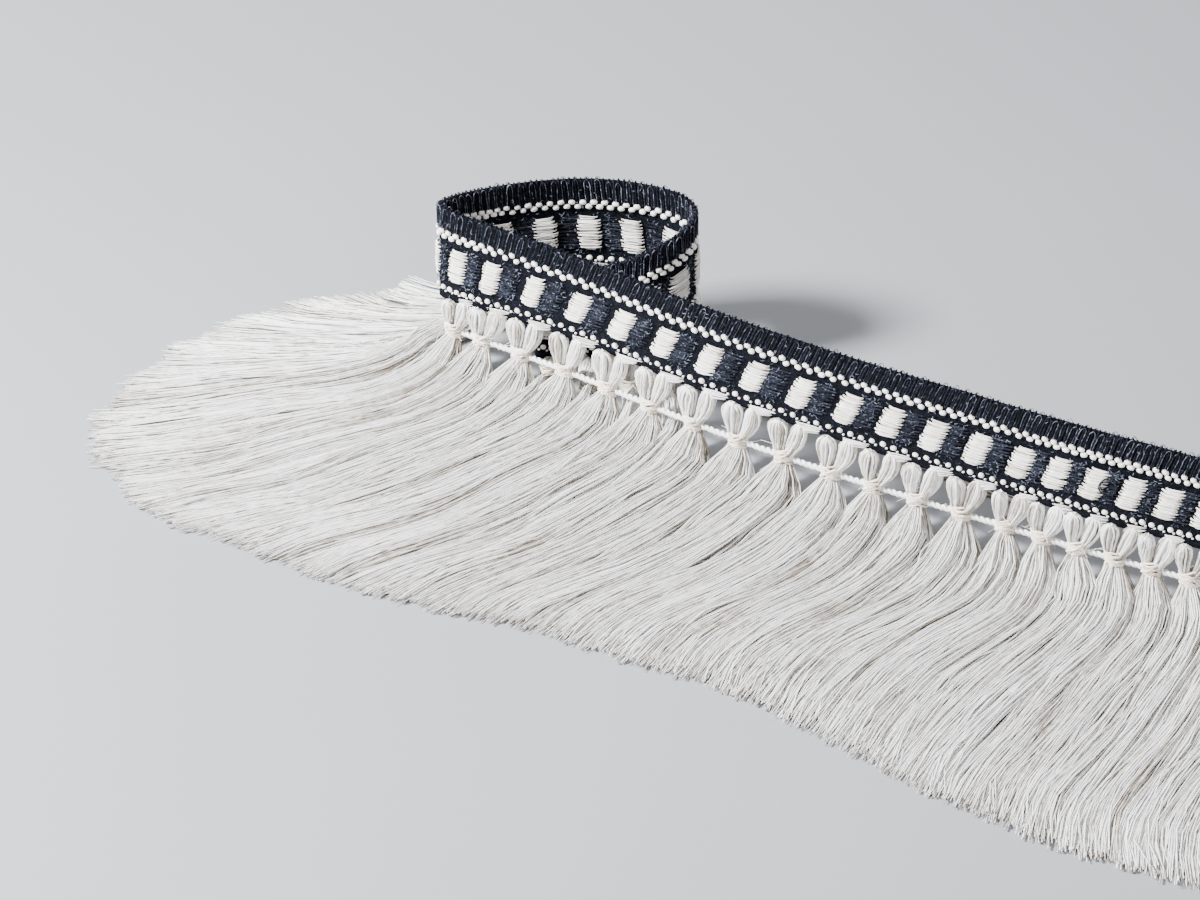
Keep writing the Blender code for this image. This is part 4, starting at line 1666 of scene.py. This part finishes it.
@dataclass
class SkirtLayer(TasselPart):
    """A layer of the skirt: yarns in soft clumps that leave the knot and lie on the floor.

    A yarn's seat is its clump's place across the skirt, from -0.5 to 0.5, and side and high are its
    own place in the clump. Share runs from 0 at the knot to 1 at the tip, and goal is the same in
    millimetres. The layer is heaped, or lies right on the floor where heaped is 0.
    """

    count: int
    points: int = 15
    radius: float = 0.3
    heaped: float = 1.0
    clumps: int = 9
    lane_steps: int = 24
    lane_gap: float = 0.01
    seat_stray: float = 0.03
    loose_yarns: int = 4
    loose_high: float = 1.3
    crowding: float = 1.12
    clump_fill: float = 0.95
    clump_flare: float = 0.4
    # The tips: how far clumps and yarns are cut apart, and the steps between high and low yarns.
    clump_cut: tuple = (-1.5, 2.0)
    yarn_cut: float = 2.5
    tip_steps: float = 6.0
    step_from: float = 0.2
    # The fall from the knot to the floor. It changes across the skirt, as does how fast it opens.
    drop: float = 17.0
    drop_change: tuple = (0.85, 1.15)
    drop_middle: float = 0.85
    drop_slope: float = 0.6
    open_middle: float = 1.1
    open_slope: float = 3.0
    open_power: float = 2.2
    fall_power: tuple = (1.6, 2.6)
    leave_middle: float = -2.2
    leave_spread: float = 1.0
    # The waves of the skirt, of its clumps and of its yarns: how far they go, and how long they are.
    calm_length: float = 45.0
    sway: float = 1.6
    sway_length: float = 95.0
    sway_shift: float = 38.0
    clump_sway: tuple = (0.3, 1.1)
    clump_length: tuple = (60.0, 110.0)
    yarn_sway: tuple = (0.15, 1.0)
    yarn_length: tuple = (34.0, 85.0)
    yarn_phase: float = 6.3
    loose_sway: float = 2.0
    loose_hook: float = 1.5
    hook_change: tuple = (-0.2, 1.5)
    hook_from: float = 0.7
    hook_span: float = 0.3
    hook_power: float = 2.4
    dip_phase: float = 1.3
    root_side: float = 1.9
    root_seat: float = 2.6
    # The heap: relief between clumps, yarns piled in a clump, and the crown at the knot.
    relief: float = 2.0
    dip_depth: float = 0.7
    pile: float = 0.9
    flatten: float = 0.4
    heap: float = 5.0
    heap_power: float = 1.5
    floor_gap: float = 1.1
    tip_share: float = 0.97
    tip_radius: float = 0.6
    radius_change: tuple = (0.8, 1.15)
    # The random tones of clumps and yarns, and painted shade on low yarns, in dips, at the knot, on the right
    # and in the under layer.
    clump_weight: float = 0.36
    clump_tone: tuple = (0.1, 1.0)
    low_yarn_shade: float = 0.4
    yarn_tone: tuple = (-0.14, 0.34)
    dip_shade: float = 0.3
    knot_shade: float = 0.15
    right_shade: float = 0.35
    under_layer_shade: float = 0.55

    def __post_init__(self) -> None:
        """Count the yarns into clumps and place the points along them."""
        self.member = np.arange(self.count) % self.clumps
        self.loose = (np.arange(self.count) < self.loose_yarns)[:, None]
        self.share = (np.arange(self.points) / (self.points - 1)) ** self.crowding

    def clump(self, low: float, high: float) -> np.ndarray:
        """Random numbers, one for each clump, given to all its yarns."""
        return self.rng.uniform(low, high, (self.clumps, 1))[self.member]

    def yarn(self, low: float, high: float) -> np.ndarray:
        """Random numbers, one for each yarn."""
        return self.rng.uniform(low, high, (self.count, 1))

    def seat_yarns(self) -> None:
        """Seat the clumps across the skirt, and the yarns in their clumps."""
        middles = (np.arange(self.clumps) + 0.5) / self.clumps - 0.5
        self.seat = (middles + around(self.rng, self.seat_stray, self.clumps))[self.member][:, None]
        angle = self.yarn(0.0, TURN)
        ball = np.sqrt(self.yarn(0.0, 1.0))
        self.side = ball * np.cos(angle)
        self.high = np.where(self.loose, self.loose_high, ball * np.sin(angle))

    def spread_yarns(self, length: float) -> None:
        """Spread the seats over the skirt's width and cut the tips.

        Args:
            length: length of the lane.
        """
        plan, share = self.plan, self.share
        widened = np.clip(share - plan.hold, 0.0, 1.0) / (1.0 - plan.hold)
        spread = plan.near + (plan.tip - plan.near) * widened
        clump_half = self.clump_fill * spread / self.clumps * (1.0 + self.clump_flare * share**2)
        self.seated = self.seat * spread + self.side * clump_half
        cut = self.clump(*self.clump_cut) + self.yarn(-self.yarn_cut, self.yarn_cut)
        cut = cut - self.tip_steps * self.yarn(0.0, 1.0) * np.clip(self.high + self.step_from, 0.0, 1.0)
        self.goal = share * (length + cut + plan.rim_slope * self.seated[:, -1:])

    def follow_lane(self, dense: np.ndarray, arcs: np.ndarray) -> tuple:
        """Follow the lane, straight on past its end.

        Args:
            dense: points of the lane.
            arcs: their distances along it.

        Returns:
            Points on the lane at each goal, and the unit vectors across it.
        """
        spot = np.clip(self.goal, 0.0, arcs[-1] - self.lane_gap)
        ways = np.gradient(dense, arcs, axis=0)
        ways /= np.linalg.norm(ways, axis=1, keepdims=True)
        way, line = (np.stack([np.interp(spot, arcs, rows[:, axis]) for axis in (0, 1)], -1)
                     for rows in (ways, dense))
        return line + way * (self.goal - spot)[..., None], np.stack([-way[..., 1], way[..., 0]], -1)

    def wave(self) -> np.ndarray:
        """Open the yarns from the knot, and let them wave and hook.

        Returns:
            How far each point lies to the side of the lane.
        """
        goal, seat, share, plan = self.goal, self.seat, self.share, self.plan
        drop = self.drop * self.clump(*self.drop_change) * (self.drop_middle - self.drop_slope * seat)
        self.opened = np.clip(goal / drop, 0.0, 1.0)
        widest = drop * (self.open_middle + self.open_slope * np.clip(seat, 0.0, 0.5))
        ease = 1.0 - (1.0 - np.clip(goal / widest, 0.0, 1.0)) ** self.open_power
        calm = np.clip(goal / self.calm_length, 0.0, 1.0)
        sway = self.sway * np.sin(TURN * goal / self.sway_length + plan.foot / self.sway_shift) * calm
        long, start = self.clump(*self.clump_length), self.clump(0.0, TURN)
        sway = sway + self.clump(*self.clump_sway) * np.sin(TURN * goal / long + start) * calm
        fine = self.yarn(*self.yarn_sway) * np.sin(
            TURN * goal / self.yarn(*self.yarn_length) + self.yarn(0.0, self.yarn_phase))
        stray = self.yarn(-1.0, 1.0) * (1.0 + self.loose_hook * plan.hook) * share
        fine = np.where(self.loose, self.loose_sway * fine + stray, fine)
        hook = plan.hook * self.clump(0.0, 1.0) * self.yarn(*self.hook_change)
        hook = hook * np.clip((share - self.hook_from) / self.hook_span, 0.0, 1.0) ** self.hook_power
        self.dip = np.clip(np.sin(TURN * goal / long + start + self.dip_phase), 0.0, 1.0) ** 2 * calm
        rooted = self.root_side * self.side + self.root_seat * seat
        return rooted + (self.seated - rooted) * ease + sway + fine * self.opened + hook

    def heights(self) -> np.ndarray:
        """Let the yarns fall from the knot on to the heap.

        Returns:
            How high each point lies.
        """
        lowest = self.floor_gap * self.radius
        layer = self.clump(0.0, self.relief) * (1.0 - self.dip_depth * self.dip)
        crown = self.heap * (1.0 - (2.0 * self.seat) ** 2) * (1.0 - self.share) ** self.heap_power
        piled = (layer + self.pile * (1.0 + self.high)) * (1.0 - self.flatten * self.share)
        bed = lowest + self.heaped * (piled + crown)
        leave = self.plan.knot[2] + self.leave_middle + self.leave_spread * self.high
        return np.maximum(bed + (leave - bed) * (1.0 - self.opened) ** self.clump(*self.fall_power), lowest)

    def tones(self) -> np.ndarray:
        """Tone the yarns at random by clump and yarn, and paint shade on low yarns, in dips, under the knot,
        on the right where the next skirt shadows it, and over the under layer.

        Returns:
            The tone of each point.
        """
        # Painted shade: the lower a yarn lies in its clump, the darker it is drawn.
        tone = self.clump_weight * self.clump(*self.clump_tone) + self.low_yarn_shade * (0.5 + 0.5 * self.high)
        tone = tone + self.yarn(*self.yarn_tone) - self.dip_shade * self.dip
        tone = tone - self.knot_shade * (1.0 - self.opened)
        tone = tone - self.right_shade * np.clip(2.0 * self.seat, 0.0, 1.0) * (1.0 - self.share) ** 4
        # Painted shade: the under layer, which lies beneath the heaped one, is drawn darker.
        return tone * (self.under_layer_shade + (1.0 - self.under_layer_shade) * self.heaped)

    def add(self, strands: Strands) -> None:
        """Add the layer.

        Args:
            strands: takes the yarns.
        """
        dense = hermite(self.plan.lane, running_length(self.plan.lane), self.lane_steps)
        arcs = running_length(dense)
        self.seat_yarns()
        self.spread_yarns(arcs[-1])
        line, across = self.follow_lane(dense, arcs)
        lateral, height = self.wave(), self.heights()
        points = np.concatenate([line + across * lateral[..., None], height[..., None]], -1)
        tapered = self.radius * np.where(self.share > self.tip_share, self.tip_radius, 1.0)
        strands.add(points, tapered * self.yarn(*self.radius_change), self.tones())


@dataclass
class StrayHairs(TasselPart):
    """A few loose fibres beside the head."""

    count: int = 7
    points: int = 6
    radius: float = 0.1
    tone: float = 0.9
    scatter: float = 1.6
    rise: float = 2.0
    length: float = 6.0
    bend: float = 2.5
    heights: tuple = (0.3, 30.0)

    def add(self, strands: Strands) -> None:
        """Add the fibres.

        Args:
            strands: takes them.
        """
        shape = (self.count, 3)
        start = self.plan.knot + self.rng.normal(0.0, self.scatter, shape) + np.array([0.0, 0.0, self.rise])
        way = self.rng.normal(0.0, 1.0, shape)
        way /= np.linalg.norm(way, axis=1, keepdims=True)
        bend = self.rng.normal(0.0, 1.0, shape)
        step = np.linspace(0.0, 1.0, self.points)[None, :, None]
        points = start[:, None] + way[:, None] * step * self.length + bend[:, None] * step**2 * self.bend
        points[..., 2] = np.clip(points[..., 2], *self.heights)
        strands.add(points, self.radius, self.tone)


@dataclass
class Windings(TasselPart):
    """The turns of yarn that tie the knot, the last ones slanted across the others."""

    half: float = 3.65
    turns: int = 7
    crossings: int = 2
    radius: float = 0.52
    step: float = 0.84
    points: int = 13
    tilt: float = 0.42
    cross_tilt: float = 0.75
    cross_level: float = 0.2
    cross_out: float = 0.1
    rounding: float = 0.02
    size_stray: tuple = (-0.2, 0.3)
    depth_share: float = 0.9
    rise: float = 0.5
    waver: float = 0.3
    waver_phase: float = 6.3
    radius_change: tuple = (0.85, 1.15)
    tone: tuple = (0.3, 1.0)

    def add(self, strands: Strands) -> None:
        """Add the turns.

        Args:
            strands: takes them.
        """
        rng = self.rng
        angle = np.linspace(0.0, TURN, self.points)
        along, inward = self.line.level_ways(self.plan.foot)
        for number in range(self.turns + self.crossings):
            crossing = number >= self.turns
            if crossing:
                level, tilt = self.cross_level, rng.choice((-self.cross_tilt, self.cross_tilt))
            else:
                level = (number - (self.turns - 1) / 2.0) * self.step
                tilt = rng.uniform(-self.tilt, self.tilt)
            size = self.half * (1.0 - self.rounding * level**2) + rng.uniform(*self.size_stray, self.points)
            size = size + self.cross_out * crossing
            size[-1] = size[0]
            beside, before = np.cos(angle) * size, np.sin(angle) * size * self.depth_share
            ring = beside[:, None] * along + before[:, None] * inward
            waver = self.waver * np.sin(3.0 * angle + rng.uniform(0.0, self.waver_phase))
            ring[:, 2] = level + self.rise + tilt * size * np.cos(angle) + waver
            strands.add((self.plan.knot + ring)[None], self.radius * rng.uniform(*self.radius_change),
                        rng.uniform(*self.tone))


@dataclass
class TasselMaker:
    """Makes a tassel: two lobes of yarn, a knot, a link cord and a skirt of two layers."""

    layout: FringeLayout
    maker: YarnMaker
    finishes: Finishes
    under_yarns: int = 26
    under_points: int = 11
    under_radius: float = 0.65

    def build(self, plan: TasselPlan, number: int) -> bpy.types.Object:
        """Make one tassel and put it in the place of its node.

        Args:
            plan: where it stands and how its skirt lies.
            number: its count, which seeds its unevenness.

        Returns:
            The finished piece.
        """
        shared = (self.layout.line, plan, np.random.default_rng(SEED + number))
        head, skirt, knot = (Strands(self.layout.line.shift) for _ in range(3))
        Lobes(*shared).add(head)
        LinkCord(*shared).add(head)
        SkirtLayer(*shared, self.under_yarns, self.under_points, self.under_radius, heaped=0.0).add(skirt)
        SkirtLayer(*shared, plan.yarns).add(skirt)
        StrayHairs(*shared).add(skirt)
        Windings(*shared).add(knot)
        pieces = [self.maker.yarns("head", head, Sides.CLOSE, self.finishes.ivory),
                  self.maker.yarns("skirt", skirt, Sides.LOOSE, self.finishes.ivory),
                  self.maker.yarns("knot", knot, Sides.CLOSE, self.finishes.shaded_knot)]
        tassel = join_pieces(plan.node.replace("tassel", "yarn_tassel"), pieces)
        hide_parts(plan.node)
        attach(tassel, "root")
        LOG.info("%s: %d faces", tassel.name, len(tassel.data.polygons))
        return tassel


@dataclass
class Studio:
    """Camera, pale floor and soft light. The floor and the view's end are in metres."""

    line: TapeLine
    target: tuple = (61.0, -78.6, 0.0)
    elevation: float = 32.0
    distance: float = 2600.0
    pixels_per_mm: float = 2.636
    image_width: float = 1200.0
    sensor: float = 36.0
    view_end: float = 10.0
    floor_size: float = 8.0
    floor_sink: float = 0.0002
    sky: str = "#EFEEEC"
    sky_strength: float = 0.24

    def make_camera(self) -> None:
        """Camera at the photograph's angle, with its narrow view."""
        data = bpy.data.cameras.new("camera")
        data.sensor_width = self.sensor
        data.lens = self.pixels_per_mm * self.distance / self.image_width * self.sensor
        data.clip_end = self.view_end
        camera = new_object("camera", data)
        tilt = math.radians(self.elevation)
        away = np.array([0.0, -math.cos(tilt), math.sin(tilt)]) * self.distance
        camera.location = Vector((np.array(self.target) + self.line.shift + away) * MM)
        camera.rotation_euler = (math.pi / 2.0 - tilt, 0.0, 0.0)
        bpy.context.scene.camera = camera

    def make_floor(self) -> None:
        """A large pale board under the fringe."""
        bpy.ops.mesh.primitive_plane_add(size=self.floor_size, location=(0.0, 0.0, -self.floor_sink))
        floor = bpy.context.object
        floor.name = "floor"
        floor.data.materials.append(FloorFinish().build())

    def add_light(self, row: LightRow) -> None:
        """Add one soft area light.

        Args:
            row: its place, size and power.
        """
        data = bpy.data.lights.new(row.name, "AREA")
        data.size = row.size
        data.energy = row.power
        light = new_object(row.name, data)
        light.location = row.place
        light.rotation_euler = (-Vector(row.place)).to_track_quat("-Z", "Y").to_euler()

    def build(self) -> None:
        """Make the camera, floor, lights and sky."""
        self.make_camera()
        self.make_floor()
        for row in LIGHTS:
            self.add_light(row)
        world = bpy.data.worlds.new("studio")
        world.use_nodes = True
        set_inputs(world.node_tree, world.node_tree.nodes["Background"],
                   {"Color": linear(self.sky), "Strength": self.sky_strength})
        bpy.context.scene.world = world


def main() -> None:
    """Build every piece of the fringe and the studio round it."""
    logging.basicConfig(level=logging.INFO, format="%(message)s")
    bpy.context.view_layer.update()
    line = TapeLine()
    layout = FringeLayout(line)
    Studio(line).build()
    finishes = Finishes()
    maker = YarnMaker()
    plans = layout.plans()
    tassels = TasselMaker(layout, maker, finishes)
    for number, plan in enumerate(plans):
        tassels.build(plan, number)
    Heading(layout, maker, finishes).build(plans)
    shown = [item for item in bpy.context.scene.objects if item.type == "MESH" and not item.hide_render]
    LOG.info("%d triangles", sum(len(face.vertices) - 2 for item in shown for face in item.data.polygons))


if __name__ == "__main__":
    main()
